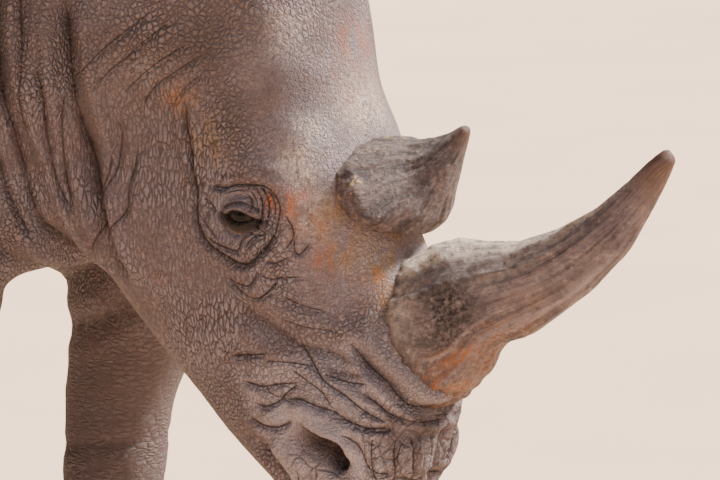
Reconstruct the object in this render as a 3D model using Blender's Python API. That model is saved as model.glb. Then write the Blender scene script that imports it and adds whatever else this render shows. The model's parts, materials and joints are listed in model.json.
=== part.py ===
"""A standing white rhinoceros, head low, as a still life-size model in named solid pieces.

Metres, +Z up. The animal faces +X and its left side is +Y. The flesh is modelled whole from
lofted masses, fused and softened, then parted with thin cuts. Horns, eyes, ears, nails and
tail are pieces of their own, set into sockets in the flesh.
"""

import math

import bmesh
import bpy
from mathutils import Matrix, Vector

GAP = 0.0004            # clearance between neighbouring pieces
AROUND = 32             # points round a loft
LEFT, RIGHT = 1, -1
SIDEWAYS = Vector((0, 1, 0))
UPRIGHT = Vector((0, 0, 1))

# The trunk from rump to shoulder: x, top, belly, level of the widest point, half width.
TRUNK = (
    (-1.94, 1.33, 1.14, 1.25, 0.09),
    (-1.89, 1.43, 1.02, 1.23, 0.20),
    (-1.80, 1.535, 0.92, 1.20, 0.31),
    (-1.66, 1.640, 0.83, 1.16, 0.40),
    (-1.44, 1.705, 0.74, 1.11, 0.47),
    (-1.14, 1.680, 0.645, 1.06, 0.53),
    (-0.82, 1.630, 0.610, 1.05, 0.545),
    (-0.54, 1.640, 0.640, 1.08, 0.515),
    (-0.30, 1.705, 0.710, 1.13, 0.455),
    (-0.08, 1.745, 0.790, 1.18, 0.390),
    (0.10, 1.690, 0.840, 1.22, 0.300),
)
TRUNK_SQUARENESS = 2.25

# The neck: x and z of a ring's centre, its forward tilt in degrees, reach above and below
# the centre, half width.
NECK = (
    (-0.22, 1.20, 0, 0.51, 0.44, 0.38),
    (-0.04, 1.21, 6, 0.54, 0.40, 0.345),
    (0.10, 1.20, 14, 0.45, 0.36, 0.305),
    (0.22, 1.19, 24, 0.37, 0.33, 0.270),
    (0.33, 1.17, 36, 0.31, 0.28, 0.225),
    (0.42, 1.14, 48, 0.17, 0.23, 0.170),
)
NECK_SQUARENESS = 2.2

# The head's own frame: its origin lies midway between the eyes, "along" runs down the face
# to the lips and "crown" out through the forehead.
HEAD_PITCH = math.radians(70)
HEAD_ORIGIN = Vector((0.49, 0, 0.96))
ALONG = Vector((math.cos(HEAD_PITCH), 0, -math.sin(HEAD_PITCH)))
CROWN = Vector((math.sin(HEAD_PITCH), 0, math.cos(HEAD_PITCH)))
HEAD_AXES = (ALONG, CROWN, SIDEWAYS)

# The head: place along, crown line, jaw line, level of the widest point, half width,
# squareness above and below that level.
HEAD = (
    (-0.47, 0.10, -0.06, 0.03, 0.09, 2.0, 2.0),
    (-0.43, 0.160, -0.13, 0.04, 0.145, 2.1, 2.1),
    (-0.35, 0.190, -0.20, 0.03, 0.178, 2.2, 2.2),
    (-0.24, 0.182, -0.26, 0.00, 0.186, 2.2, 2.4),
    (-0.13, 0.162, -0.292, -0.02, 0.184, 2.1, 2.8),
    (-0.03, 0.160, -0.315, -0.03, 0.179, 1.9, 2.9),
    (0.06, 0.168, -0.315, -0.04, 0.168, 1.75, 2.7),
    (0.14, 0.172, -0.290, -0.05, 0.155, 1.75, 2.4),
    (0.22, 0.165, -0.252, -0.05, 0.143, 1.85, 2.3),
    (0.30, 0.145, -0.210, -0.04, 0.135, 2.1, 2.3),
    (0.37, 0.122, -0.168, -0.02, 0.134, 2.5, 2.5),
    (0.425, 0.090, -0.130, -0.01, 0.125, 2.6, 2.6),
    (0.468, 0.043, -0.090, -0.01, 0.102, 2.8, 2.8),
)

# Masses laid on both sides of the head: along, crown and side of the centre, then half sizes.
HEAD_PAIRS = (
    ((-0.10, -0.155, 0.115), (0.20, 0.145, 0.076)),
    ((0.00, 0.015, 0.130), (0.15, 0.055, 0.052)),
    ((-0.05, 0.080, 0.100), (0.11, 0.060, 0.055)),
    ((-0.36, 0.09, 0.105), (0.09, 0.08, 0.070)),
    ((0.340, 0.010, 0.090), (0.080, 0.075, 0.052)),
    ((0.395, -0.035, 0.070), (0.075, 0.080, 0.066)),
)
# Masses on the head's middle: the two horn bosses and the chin.
HEAD_SINGLES = (
    ((0.235, 0.100, 0.0), (0.120, 0.070, 0.085)),
    ((0.045, 0.095, 0.0), (0.090, 0.065, 0.080)),
    ((0.355, -0.105, 0.0), (0.090, 0.055, 0.105)),
    ((-0.31, 0.120, 0.0), (0.19, 0.072, 0.115)),
)

# Masses laid on both sides of the body: centre, half sizes, lean in degrees seen from the side.
BODY_PAIRS = (
    ((-0.13, 0.280, 1.12), (0.21, 0.13, 0.38), -12),
    ((-0.14, 0.270, 0.92), (0.13, 0.10, 0.16), 10),
    ((-1.60, 0.230, 1.16), (0.30, 0.19, 0.40), 8),
    ((-1.42, 0.250, 1.40), (0.24, 0.17, 0.25), 0),
    ((-1.36, 0.320, 0.93), (0.15, 0.10, 0.22), 22),
    ((-1.77, 0.180, 1.06), (0.14, 0.16, 0.30), -4),
    ((0.09, 0.105, 1.00), (0.15, 0.15, 0.17), 0),
)
HUMP = ((-0.12, 0.0, 1.60), (0.30, 0.16, 0.17), 0)

# Legs from the top down: height, x from the leg's own line, y from it, half length, half width.
FORELEG = (
    (1.20, -0.06, 0.02, 0.21, 0.10),
    (1.00, -0.02, 0.01, 0.19, 0.125),
    (0.86, 0.030, 0.0, 0.150, 0.122),
    (0.75, 0.056, 0.0, 0.122, 0.110),
    (0.67, 0.030, 0.0, 0.108, 0.100),
    (0.58, 0.000, 0.0, 0.092, 0.088),
    (0.50, -0.010, 0.0, 0.083, 0.080),
    (0.43, -0.013, 0.0, 0.085, 0.082),
    (0.34, -0.020, 0.0, 0.080, 0.077),
    (0.22, -0.022, 0.0, 0.080, 0.078),
    (0.13, -0.008, 0.0, 0.094, 0.094),
    (0.06, 0.008, 0.0, 0.112, 0.112),
    (-0.03, 0.016, 0.0, 0.122, 0.122),
)
HINDLEG = (
    (1.42, 0.00, 0.0, 0.24, 0.12),
    (1.22, -0.03, 0.03, 0.28, 0.16),
    (1.02, -0.02, 0.04, 0.285, 0.165),
    (0.86, -0.01, 0.04, 0.235, 0.145),
    (0.72, -0.050, 0.03, 0.165, 0.115),
    (0.60, -0.095, 0.01, 0.115, 0.088),
    (0.51, -0.115, 0.0, 0.094, 0.074),
    (0.42, -0.098, 0.0, 0.078, 0.070),
    (0.30, -0.070, 0.0, 0.076, 0.072),
    (0.18, -0.040, 0.0, 0.086, 0.084),
    (0.08, -0.012, 0.0, 0.104, 0.102),
    (-0.03, 0.002, 0.0, 0.114, 0.112),
)
LEG_SQUARENESS = 2.2
# Name, profile, x and y of the leg's line.
LEGS = (
    ("foreleg_left", FORELEG, 0.0, 0.265),
    ("foreleg_right", FORELEG, -0.07, -0.265),
    ("hindleg_left", HINDLEG, -1.65, 0.255),
    ("hindleg_right", HINDLEG, -1.57, -0.255),
)

# Horns: the front edge and the back edge of each section as x, z pairs, then its half width.
FRONT_HORN = (
    ((0.655, 0.662), (0.645, 0.900), 0.086),
    ((0.722, 0.668), (0.700, 0.917), 0.090),
    ((0.762, 0.690), (0.742, 0.925), 0.087),
    ((0.818, 0.738), (0.797, 0.922), 0.076),
    ((0.895, 0.803), (0.856, 0.928), 0.060),
    ((0.972, 0.862), (0.925, 0.953), 0.048),
    ((1.028, 0.922), (0.987, 0.989), 0.037),
    ((1.066, 0.983), (1.036, 1.030), 0.026),
    ((1.091, 1.034), (1.072, 1.061), 0.016),
    ((1.104, 1.064), (1.095, 1.077), 0.007),
)
REAR_HORN = (
    ((0.650, 0.962), (0.568, 1.068), 0.092),
    ((0.699, 0.946), (0.602, 1.076), 0.092),
    ((0.724, 0.954), (0.636, 1.072), 0.080),
    ((0.742, 0.985), (0.680, 1.064), 0.054),
    ((0.754, 1.022), (0.716, 1.068), 0.036),
    ((0.766, 1.058), (0.745, 1.079), 0.019),
    ((0.773, 1.083), (0.766, 1.091), 0.007),
)

EYE_RADIUS = 0.030
EYE_PLACE = (0.0, 0.0, 0.157)

EAR_ROOT = (-0.385, 0.105, 0.112)
EAR_RISE = (-0.05, 0.46, 0.88)
EAR_FACING = (0.80, 0.58, -0.20)
# The ear's cup: distance from its root, centre set towards its opening, half depth, half width.
EAR_CUP = (
    (0.000, 0.000, 0.036, 0.036),
    (0.055, 0.002, 0.043, 0.045),
    (0.110, 0.002, 0.050, 0.057),
    (0.168, -0.002, 0.050, 0.064),
    (0.222, -0.010, 0.043, 0.058),
    (0.262, -0.018, 0.030, 0.041),
    (0.288, -0.024, 0.014, 0.018),
)
EAR_HOLLOW = (
    (0.068, 0.026, 0.014, 0.014),
    (0.095, 0.028, 0.034, 0.036),
    (0.134, 0.022, 0.055, 0.051),
    (0.180, 0.014, 0.057, 0.056),
    (0.222, 0.006, 0.051, 0.050),
    (0.258, 0.004, 0.044, 0.034),
    (0.300, 0.006, 0.036, 0.022),
)

# The tail's middle line with its half thickness.
TAIL = (
    (-1.84, 1.40, 0.050),
    (-1.925, 1.345, 0.046),
    (-1.975, 1.24, 0.036),
    (-1.990, 1.10, 0.027),
    (-1.992, 0.96, 0.021),
    (-1.990, 0.86, 0.018),
    (-1.986, 0.78, 0.021),
    (-1.982, 0.70, 0.017),
    (-1.980, 0.65, 0.006),
)

# Toenails: their bearing from straight ahead in degrees, half width and height.
NAILS = (("inner", -58, 0.040, 0.056), ("middle", 0, 0.056, 0.068), ("outer", 58, 0.040, 0.056))
NAIL_DEPTH = 0.022
NAIL_PROUD = 0.004
NAIL_COLUMNS = 4
NAIL_CORNER = 0.010     # height left at a nail's two ends

NOSTRIL = ((0.374, -0.002, 0.128), (0.034, 0.022, 0.030))

FUSE_VOXEL = 0.014
FLESH_TRIANGLES = 4900
# Where the head begins along the body and the limbs below it, each with the length of its blend.
HEAD_START, HEAD_BLEND = 0.16, 0.14
LIMB_TOP, LIMB_BLEND = 0.85, 0.20
LIMB_ASIDE = 0.10       # the limbs lie farther than this from the body's middle

# Cuts: a point on each plane as x, z and the plane's lean from upright in degrees.
HEAD_CUT = ((0.265, 1.165), 11)
NECK_CUT = ((0.03, 1.25), -8)
# The cuts over the legs: x from the leg's line and height of the two ends of the sloping top.
FORELEG_CUT = ((-0.27, 0.70), (0.22, 0.81))
HINDLEG_CUT = ((-0.48, 1.02), (0.31, 0.78))
# The cut of the mouth in the head's frame: its corner, then its front end, as along and crown.
MOUTH_CORNER = (0.325, -0.110)
MOUTH_FRONT = (0.500, -0.060)
LEG_INNER = 0.08        # a leg's own piece begins this far from the body's middle
CUT_ASIDE, CUT_UNDER = 0.7, -0.1    # the leg cutters end beyond the flesh and under the floor
JAW_CUT_ASIDE, JAW_CUT_DEEP, JAW_CUT_BACK = 0.3, 0.30, 0.06
SHARP = math.radians(40)            # edges bent more than this stay crisp

SKIN = ((0.150, 0.118, 0.100), 0.75)
HORN = ((0.120, 0.092, 0.072), 0.6)
NAIL = ((0.180, 0.140, 0.105), 0.6)
EYE = ((0.012, 0.008, 0.006), 0.1)


def head_point(along, crown, side):
    """A point given in the head's own frame."""
    return HEAD_ORIGIN + ALONG * along + CROWN * crown + SIDEWAYS * side


def ring(centre, side, up, rise, drop, half_width, square_above=2.0, square_below=2.0, around=AROUND):
    """A closed egg-shaped outline whose widest level runs through its centre."""
    points = []
    for i in range(around):
        angle = math.tau * i / around
        across, lift = math.cos(angle), math.sin(angle)
        squareness = square_above if lift > 0 else square_below
        across = math.copysign(abs(across) ** (2 / squareness), across)
        lift = math.copysign(abs(lift) ** (2 / squareness), lift)
        reach = rise if lift > 0 else drop
        points.append(centre + side * half_width * across + up * reach * lift)
    return points


def new_object(name, bm):
    """Close the work on a body: its bent faces are split so that its socket can follow them."""
    bmesh.ops.recalc_face_normals(bm, faces=bm.faces)
    bmesh.ops.triangulate(bm, faces=bm.faces)
    mesh = bpy.data.meshes.new(name)
    bm.to_mesh(mesh)
    bm.free()
    obj = bpy.data.objects.new(name, mesh)
    bpy.context.collection.objects.link(obj)
    return obj


def loft(name, rings):
    """A closed body through rings of equally many points."""
    bm = bmesh.new()
    loops = [[bm.verts.new(point) for point in points] for points in rings]
    for near, far in zip(loops, loops[1:]):
        for i in range(len(near)):
            j = (i + 1) % len(near)
            bm.faces.new((near[i], near[j], far[j], far[i]))
    bm.faces.new(reversed(loops[0]))
    bm.faces.new(loops[-1])
    return new_object(name, bm)


def ellipsoid(name, centre, axes, half_sizes, segments=24):
    """An ellipsoid whose three axes are given as vectors."""
    place = Matrix.Translation(centre) @ Matrix(axes).transposed().to_4x4()
    place = place @ Matrix.Diagonal((*half_sizes, 1))
    bm = bmesh.new()
    bmesh.ops.create_uvsphere(bm, u_segments=segments, v_segments=segments // 2, radius=1, matrix=place)
    return new_object(name, bm)


def joined(name, objects):
    """One object with the loose bodies of several."""
    bm = bmesh.new()
    for obj in objects:
        bm.from_mesh(obj.data)
        bpy.data.objects.remove(obj)
    mesh = bpy.data.meshes.new(name)
    bm.to_mesh(mesh)
    bm.free()
    obj = bpy.data.objects.new(name, mesh)
    bpy.context.collection.objects.link(obj)
    return obj


def settle(obj):
    """Turn an object's modifiers into its mesh."""
    bpy.context.view_layer.update()
    shown = obj.evaluated_get(bpy.context.evaluated_depsgraph_get())
    mesh = bpy.data.meshes.new_from_object(shown)
    obj.modifiers.clear()
    obj.data = mesh


def trunk_mass():
    return loft("trunk_mass", [
        ring(Vector((x, 0, level)), SIDEWAYS, UPRIGHT, top - level, level - belly, width,
             TRUNK_SQUARENESS, TRUNK_SQUARENESS)
        for x, top, belly, level, width in TRUNK])


def neck_mass():
    rings = []
    for x, z, tilt, rise, drop, width in NECK:
        lean = math.radians(tilt)
        up = Vector((math.sin(lean), 0, math.cos(lean)))
        rings.append(ring(Vector((x, 0, z)), SIDEWAYS, up, rise, drop, width,
                          NECK_SQUARENESS, NECK_SQUARENESS))
    return loft("neck_mass", rings)


def head_mass():
    return loft("head_mass", [
        ring(head_point(along, level, 0), SIDEWAYS, CROWN, crown - level, level - jaw, width, above, below)
        for along, crown, jaw, level, width, above, below in HEAD])


def leg_mass(name, profile, x, y):
    return loft(name + "_mass", [
        ring(Vector((x + ahead, y + math.copysign(out, y), z)), SIDEWAYS, Vector((1, 0, 0)),
             length, length, width, LEG_SQUARENESS, LEG_SQUARENESS)
        for z, ahead, out, length, width in profile])


def body_lump(centre, half_sizes, lean):
    turn = Matrix.Rotation(math.radians(lean), 3, "Y")
    axes = (turn @ Vector((1, 0, 0)), SIDEWAYS, turn @ UPRIGHT)
    return ellipsoid("lump", Vector(centre), axes, half_sizes)


def lumps():
    """The rounded masses that lie over the lofts."""
    made = [body_lump(*HUMP)]
    for (x, y, z), sizes, lean in BODY_PAIRS:
        for hand in (LEFT, RIGHT):
            made.append(body_lump((x, y * hand, z), sizes, lean))
    for (along, crown, side), sizes in HEAD_PAIRS:
        for hand in (LEFT, RIGHT):
            made.append(ellipsoid("lump", head_point(along, crown, hand * side), HEAD_AXES, sizes))
    for (along, crown, side), sizes in HEAD_SINGLES:
        made.append(ellipsoid("lump", head_point(along, crown, side), HEAD_AXES, sizes))
    return made


def flesh():
    """The whole body without horns, eyes, ears, nails and tail."""
    body = joined("flesh", [trunk_mass(), neck_mass(), head_mass(), *lumps()]
                  + [leg_mass(*each) for each in LEGS])
    remesh = body.modifiers.new("Fuse", "REMESH")
    remesh.mode = "VOXEL"
    remesh.voxel_size = FUSE_VOXEL
    settle(body)
    soft = body.vertex_groups.new(name="soft")
    plain = body.vertex_groups.new(name="plain")
    for vertex in body.data.vertices:
        x, y, z = vertex.co
        head = min(1, max(0, (x - HEAD_START) / HEAD_BLEND))
        limb = min(1, max(0, (LIMB_TOP - z) / LIMB_BLEND)) if abs(y) > LIMB_ASIDE else 0
        soft.add([vertex.index], 1 - max(head, 0.85 * limb), "REPLACE")
        plain.add([vertex.index], 1 - 0.12 * limb, "REPLACE")
    for name, group, rounds in (("Soften", "", 12), ("Blend", "soft", 60)):
        soften = body.modifiers.new(name, "SMOOTH")
        soften.factor = 0.5
        soften.iterations = rounds
        soften.vertex_group = group
    thin = body.modifiers.new("Thin", "DECIMATE")
    thin.ratio = FLESH_TRIANGLES / (2 * len(body.data.polygons))
    thin.vertex_group = "plain"
    thin.vertex_group_factor = 1.0
    thin.use_collapse_triangulate = True
    settle(body)
    body.vertex_groups.clear()
    return body


def socketed(body, piece, clearance=GAP):
    """Take a slightly swollen copy of a piece out of a body."""
    swollen = piece.copy()
    swollen.data = piece.data.copy()
    bpy.context.collection.objects.link(swollen)
    bm = bmesh.new()
    bm.from_mesh(swollen.data)
    bm.normal_update()
    shifts = [vertex.normal * clearance * min(2, vertex.calc_shell_factor()) for vertex in bm.verts]
    for vertex, shift in zip(bm.verts, shifts):
        vertex.co += shift
    bm.to_mesh(swollen.data)
    bm.free()
    carve(body, swollen, "DIFFERENCE")
    bpy.data.objects.remove(swollen)


def carve(body, cutter, operation):
    """Cut a body with another, keeping what is outside it or what is inside it."""
    cut = body.modifiers.new("Cut", "BOOLEAN")
    cut.operation = operation
    cut.solver = "EXACT"
    cut.object = cutter
    settle(body)


def copied(obj, name):
    twin = obj.copy()
    twin.data = obj.data.copy()
    twin.name = name
    twin.data.name = name
    bpy.context.collection.objects.link(twin)
    return twin


def horn(name, sections, around=14):
    rings = []
    for front, back, half_width in sections:
        front, back = Vector((front[0], 0, front[1])), Vector((back[0], 0, back[1]))
        reach = (back - front) / 2
        rings.append(ring((front + back) / 2, SIDEWAYS, reach.normalized(), reach.length, reach.length,
                          half_width, around=around))
    return loft(name, rings)


def ear(name, hand):
    """A cup with its opening ahead and outwards, its root in the head."""
    root = head_point(EAR_ROOT[0], EAR_ROOT[1], EAR_ROOT[2] * hand)
    rise = Vector((EAR_RISE[0], EAR_RISE[1] * hand, EAR_RISE[2])).normalized()
    facing = Vector((EAR_FACING[0], EAR_FACING[1] * hand, EAR_FACING[2]))
    facing = (facing - rise * facing.dot(rise)).normalized()
    across = facing.cross(rise)

    def shell(label, sections, around):
        return loft(label, [ring(root + rise * reach + facing * ahead, across, facing, depth, depth, width,
                                 around=around)
                            for reach, ahead, depth, width in sections])

    cup = shell(name, EAR_CUP, 12)
    hollow = shell(name + "_hollow", EAR_HOLLOW, 10)
    carve(cup, hollow, "DIFFERENCE")
    bpy.data.objects.remove(hollow)
    return cup


def tail_piece():
    rings = []
    for i, (x, z, half) in enumerate(TAIL):
        before = TAIL[max(0, i - 1)]
        after = TAIL[min(len(TAIL) - 1, i + 1)]
        way = Vector((after[0] - before[0], 0, after[1] - before[1])).normalized()
        rings.append(ring(Vector((x, 0, z)), SIDEWAYS, way.cross(SIDEWAYS), half, half, half, around=10))
    return loft("tail", rings)


def nail(name, profile, centre, bearing, half_width, height):
    """A half-moon shell on the rim of a foot, bent to the foot and resting on the floor."""
    low, high = profile[-2], profile[-3]

    def rim(turn, z):
        """The foot's edge at a bearing and a height."""
        share = (z - low[0]) / (high[0] - low[0])
        shape = [a + (b - a) * share for a, b in zip(low, high)]
        way = Vector((math.cos(turn), math.sin(turn), 0))
        power = LEG_SQUARENESS
        reach = (abs(way.x / shape[3]) ** power + abs(way.y / shape[4]) ** power) ** (-1 / power)
        return Vector((centre[0] + shape[1], centre[1] + shape[2], z)) + way * reach, way

    bm = bmesh.new()
    columns = []
    spread = half_width / low[3]
    for i in range(NAIL_COLUMNS + 1):
        step = 2 * i / NAIL_COLUMNS - 1
        turn = bearing + spread * step
        top = NAIL_CORNER + (height - NAIL_CORNER) * math.sqrt(max(0, 1 - step * step))
        column = []
        for z, out in ((0, NAIL_PROUD), (top * 0.6, NAIL_PROUD), (top, 0.0),
                       (top, -NAIL_DEPTH), (0, -NAIL_DEPTH)):
            spot, way = rim(turn, z)
            column.append(bm.verts.new(spot + way * out))
        columns.append(column)
    for near, far in zip(columns, columns[1:]):
        for i in range(5):
            j = (i + 1) % 5
            bm.faces.new((near[i], near[j], far[j], far[i]))
    bm.faces.new(reversed(columns[0]))
    bm.faces.new(columns[-1])
    return new_object(name, bm)


def halves(body, name, point, lean, clearance=GAP):
    """Part a body at a leaning cross plane: the front part takes the name, the body keeps the rest."""
    turn = math.radians(lean)
    normal = Vector((math.cos(turn), 0, -math.sin(turn)))
    point = Vector((point[0], 0, point[1]))
    front = copied(body, name)
    sliced(front, point + normal * clearance / 2, normal)
    sliced(body, point - normal * clearance / 2, -normal)
    return front


def sliced(obj, point, normal):
    """Keep the part of a body ahead of a plane and close it there."""
    bm = bmesh.new()
    bm.from_mesh(obj.data)
    everything = bm.verts[:] + bm.edges[:] + bm.faces[:]
    cut = bmesh.ops.bisect_plane(bm, geom=everything, dist=1e-6, plane_co=point, plane_no=normal,
                                 clear_inner=True)
    rim = [item for item in cut["geom_cut"] if isinstance(item, bmesh.types.BMEdge)]
    bmesh.ops.holes_fill(bm, edges=rim)
    bm.to_mesh(obj.data)
    bm.free()


def prism(name, outline, low, high):
    """A prism across the body on an outline of x, z pairs."""
    bm = bmesh.new()
    near = [bm.verts.new((x, low, z)) for x, z in outline]
    far = [bm.verts.new((x, high, z)) for x, z in outline]
    bm.faces.new(near)
    bm.faces.new(reversed(far))
    for i in range(len(outline)):
        j = (i + 1) % len(outline)
        bm.faces.new((near[i], far[i], far[j], near[j]))
    return new_object(name, bm)


def parted(body, name, outline, low, high):
    """Part off what lies in a prism as a piece of its own."""
    block = prism(name + "_cutter", outline, low, high)
    piece = copied(body, name)
    carve(piece, block, "INTERSECT")
    socketed(body, block)
    bpy.data.objects.remove(block)
    return piece


def painted(obj, name, look):
    colour, roughness = look
    material = bpy.data.materials.new(name)
    material.use_nodes = True
    surface = material.node_tree.nodes["Principled BSDF"]
    surface.inputs["Base Color"].default_value = (*colour, 1)
    surface.inputs["Roughness"].default_value = roughness
    surface.inputs["Metallic"].default_value = 0
    obj.data.materials.clear()
    obj.data.materials.append(material)


def main():
    for obj in list(bpy.data.objects):
        bpy.data.objects.remove(obj)
    body = flesh()
    sliced(body, Vector((0, 0, 0)), UPRIGHT)

    fittings = [horn("horn_front", FRONT_HORN), horn("horn_rear", REAR_HORN)]
    for word, hand in (("left", LEFT), ("right", RIGHT)):
        along, crown, side = EYE_PLACE
        centre = head_point(along, crown, side * hand)
        fittings.append(ellipsoid("eye_" + word, centre, HEAD_AXES, (EYE_RADIUS,) * 3, 12))
        fittings.append(ear("ear_" + word, hand))
    fittings.append(tail_piece())
    for fitting in fittings:
        socketed(body, fitting)

    (along, crown, side), sizes = NOSTRIL
    for hand in (LEFT, RIGHT):
        dent = ellipsoid("nostril", head_point(along, crown, side * hand), HEAD_AXES, sizes, 12)
        carve(body, dent, "DIFFERENCE")
        bpy.data.objects.remove(dent)

    pieces = []
    for name, profile, x, y in LEGS:
        rear, ahead = FORELEG_CUT if name.startswith("fore") else HINDLEG_CUT
        outline = ((x + rear[0], CUT_UNDER), (x + ahead[0], CUT_UNDER),
                   (x + ahead[0], ahead[1]), (x + rear[0], rear[1]))
        low, high = (LEG_INNER, CUT_ASIDE) if y > 0 else (-CUT_ASIDE, -LEG_INNER)
        limb = parted(body, name, outline, low, high)
        for word, bearing, half_width, height in NAILS:
            turn = math.radians(bearing if y > 0 else -bearing)
            claw = nail("nail_" + name + "_" + word, profile, (x, y), turn, half_width, height)
            socketed(limb, claw)
            painted(claw, claw.name, NAIL)
            pieces.append(claw)
        pieces.append(limb)

    pieces.append(halves(body, "head", *HEAD_CUT))
    head = pieces[-1]
    pieces.append(halves(body, "neck", *NECK_CUT))
    body.name = "trunk"
    pieces.append(body)

    corner = HEAD_ORIGIN + ALONG * MOUTH_CORNER[0] + CROWN * MOUTH_CORNER[1]
    front = HEAD_ORIGIN + ALONG * MOUTH_FRONT[0] + CROWN * MOUTH_FRONT[1]
    deep = corner - CROWN * JAW_CUT_DEEP - ALONG * JAW_CUT_BACK
    low = front - CROWN * JAW_CUT_DEEP
    outline = [(spot.x, spot.z) for spot in (corner, front, low, deep)]
    pieces.append(parted(head, "lower_jaw", outline, -JAW_CUT_ASIDE, JAW_CUT_ASIDE))

    for piece in pieces:
        if not piece.name.startswith("nail"):
            painted(piece, piece.name + "_skin", SKIN)
    for fitting in fittings:
        look = HORN if fitting.name.startswith("horn") else EYE if fitting.name.startswith("eye") else SKIN
        painted(fitting, fitting.name + "_look", look)
    spots = [vertex.co.copy() for obj in pieces + fittings for vertex in obj.data.vertices]
    middle = [(min(spot[i] for spot in spots) + max(spot[i] for spot in spots)) / 2 for i in range(2)]
    for obj in pieces + fittings:
        obj.data.transform(Matrix.Translation((-middle[0], -middle[1], 0)))
        obj.data.shade_smooth()
        obj.data.set_sharp_from_angle(angle=SHARP)


main()
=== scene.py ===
"""The looks of a standing white rhinoceros: one creased hide over the flesh, horns of matted
fibre, wet dark eyes, worn nails, ear bristles and a tail brush.

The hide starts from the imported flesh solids. They are fused, refined to a fine mesh where the
animal is most creased, and then folded by rules laid out in the head's own frame.
"""
import json
import math

import bmesh
import bpy
import numpy as np
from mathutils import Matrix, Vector
from mathutils.bvhtree import BVHTree

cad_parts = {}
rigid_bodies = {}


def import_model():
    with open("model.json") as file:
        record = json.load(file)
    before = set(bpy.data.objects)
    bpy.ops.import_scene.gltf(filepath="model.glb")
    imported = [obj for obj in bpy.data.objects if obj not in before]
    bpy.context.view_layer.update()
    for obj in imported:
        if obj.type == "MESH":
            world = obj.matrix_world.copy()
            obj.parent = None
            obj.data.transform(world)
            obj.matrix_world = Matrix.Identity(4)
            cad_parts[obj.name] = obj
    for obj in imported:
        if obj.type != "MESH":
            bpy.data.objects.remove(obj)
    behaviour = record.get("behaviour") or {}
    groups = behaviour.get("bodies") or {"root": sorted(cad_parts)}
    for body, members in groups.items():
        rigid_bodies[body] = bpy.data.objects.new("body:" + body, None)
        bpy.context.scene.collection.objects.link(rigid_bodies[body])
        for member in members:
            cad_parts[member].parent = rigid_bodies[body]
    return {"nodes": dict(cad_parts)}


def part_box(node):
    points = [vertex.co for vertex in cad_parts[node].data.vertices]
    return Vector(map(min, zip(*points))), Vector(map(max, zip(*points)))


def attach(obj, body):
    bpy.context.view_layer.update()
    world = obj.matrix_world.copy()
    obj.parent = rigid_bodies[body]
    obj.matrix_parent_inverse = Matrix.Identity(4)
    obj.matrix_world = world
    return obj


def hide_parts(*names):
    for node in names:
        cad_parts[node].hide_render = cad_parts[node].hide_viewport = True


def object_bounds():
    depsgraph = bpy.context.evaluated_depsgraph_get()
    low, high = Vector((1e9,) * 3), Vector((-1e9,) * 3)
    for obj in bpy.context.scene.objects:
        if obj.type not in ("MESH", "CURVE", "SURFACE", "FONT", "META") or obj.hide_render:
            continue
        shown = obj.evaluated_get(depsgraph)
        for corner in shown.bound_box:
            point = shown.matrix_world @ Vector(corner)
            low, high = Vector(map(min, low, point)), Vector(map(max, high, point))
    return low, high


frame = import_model()
CAD_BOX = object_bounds()
NODES = frame["nodes"]

FLESH = ("trunk", "neck", "head", "lower_jaw", "foreleg_left", "foreleg_right",
         "hindleg_left", "hindleg_right")

# ---------------------------------------------------------------- the head's own frame

EYE_LOW, EYE_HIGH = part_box("eye_right")
EYE_CENTRE = (EYE_LOW + EYE_HIGH) / 2           # the right eye; the left one mirrors it
EYE_RADIUS = (EYE_HIGH.y - EYE_LOW.y) / 2
EYE_OUT = abs(EYE_CENTRE.y)
HEAD_ORIGIN = np.array([EYE_CENTRE.x, 0.0, EYE_CENTRE.z])
HEAD_PITCH = math.radians(70)
ALONG = np.array([math.cos(HEAD_PITCH), 0.0, -math.sin(HEAD_PITCH)])    # down the face
CROWN = np.array([math.sin(HEAD_PITCH), 0.0, math.cos(HEAD_PITCH)])     # out through the brow
SIDE = np.array([0.0, 1.0, 0.0])


def head_frame(points):
    """Along, crown and side of points."""
    away = points - HEAD_ORIGIN
    return away @ ALONG, away @ CROWN, away[:, 1]


def head_point(along, crown, side=0.0):
    return HEAD_ORIGIN + ALONG * along + CROWN * crown + SIDE * side


def eye_distance(points):
    """Distance from the middle of the nearer eye, which is where the head's frame starts."""
    along, crown, side = head_frame(points)
    return np.sqrt(along ** 2 + crown ** 2 + (np.abs(side) - EYE_OUT) ** 2)


def smooth_step(low, high, value):
    share = np.clip((value - low) / (high - low), 0, 1)
    return share * share * (3 - 2 * share)


HEAD_GIRTH = 0.17       # radius that turns the angle round the head into a length
HEAD_AXIS = -0.03       # crown level of the head's middle line


def face_map(points):
    """The head's hide laid flat: distance down the face, and distance round from the brow line."""
    along, crown, side = head_frame(points)
    return np.stack([along, np.arctan2(np.abs(side), crown - HEAD_AXIS) * HEAD_GIRTH], axis=1)


def head_share(along, crown, start=-0.30, full=-0.18):
    """1 on the head, falling to 0 towards the neck and the throat."""
    return smooth_step(start, full, along) * smooth_step(-0.36, -0.28, crown)


# ---------------------------------------------------------------- meshes as arrays

def values_of(items, name, width, kind=float):
    """One number or vector of every item, as the rows of an array."""
    values = np.empty(len(items) * width, kind)
    items.foreach_get(name, values)
    return values.reshape(-1, width)


def arrays_of(mesh):
    """Corner positions and triangles of a mesh."""
    mesh.calc_loop_triangles()
    return values_of(mesh.vertices, "co", 3), values_of(mesh.loop_triangles, "vertices", 3, int)


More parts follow.
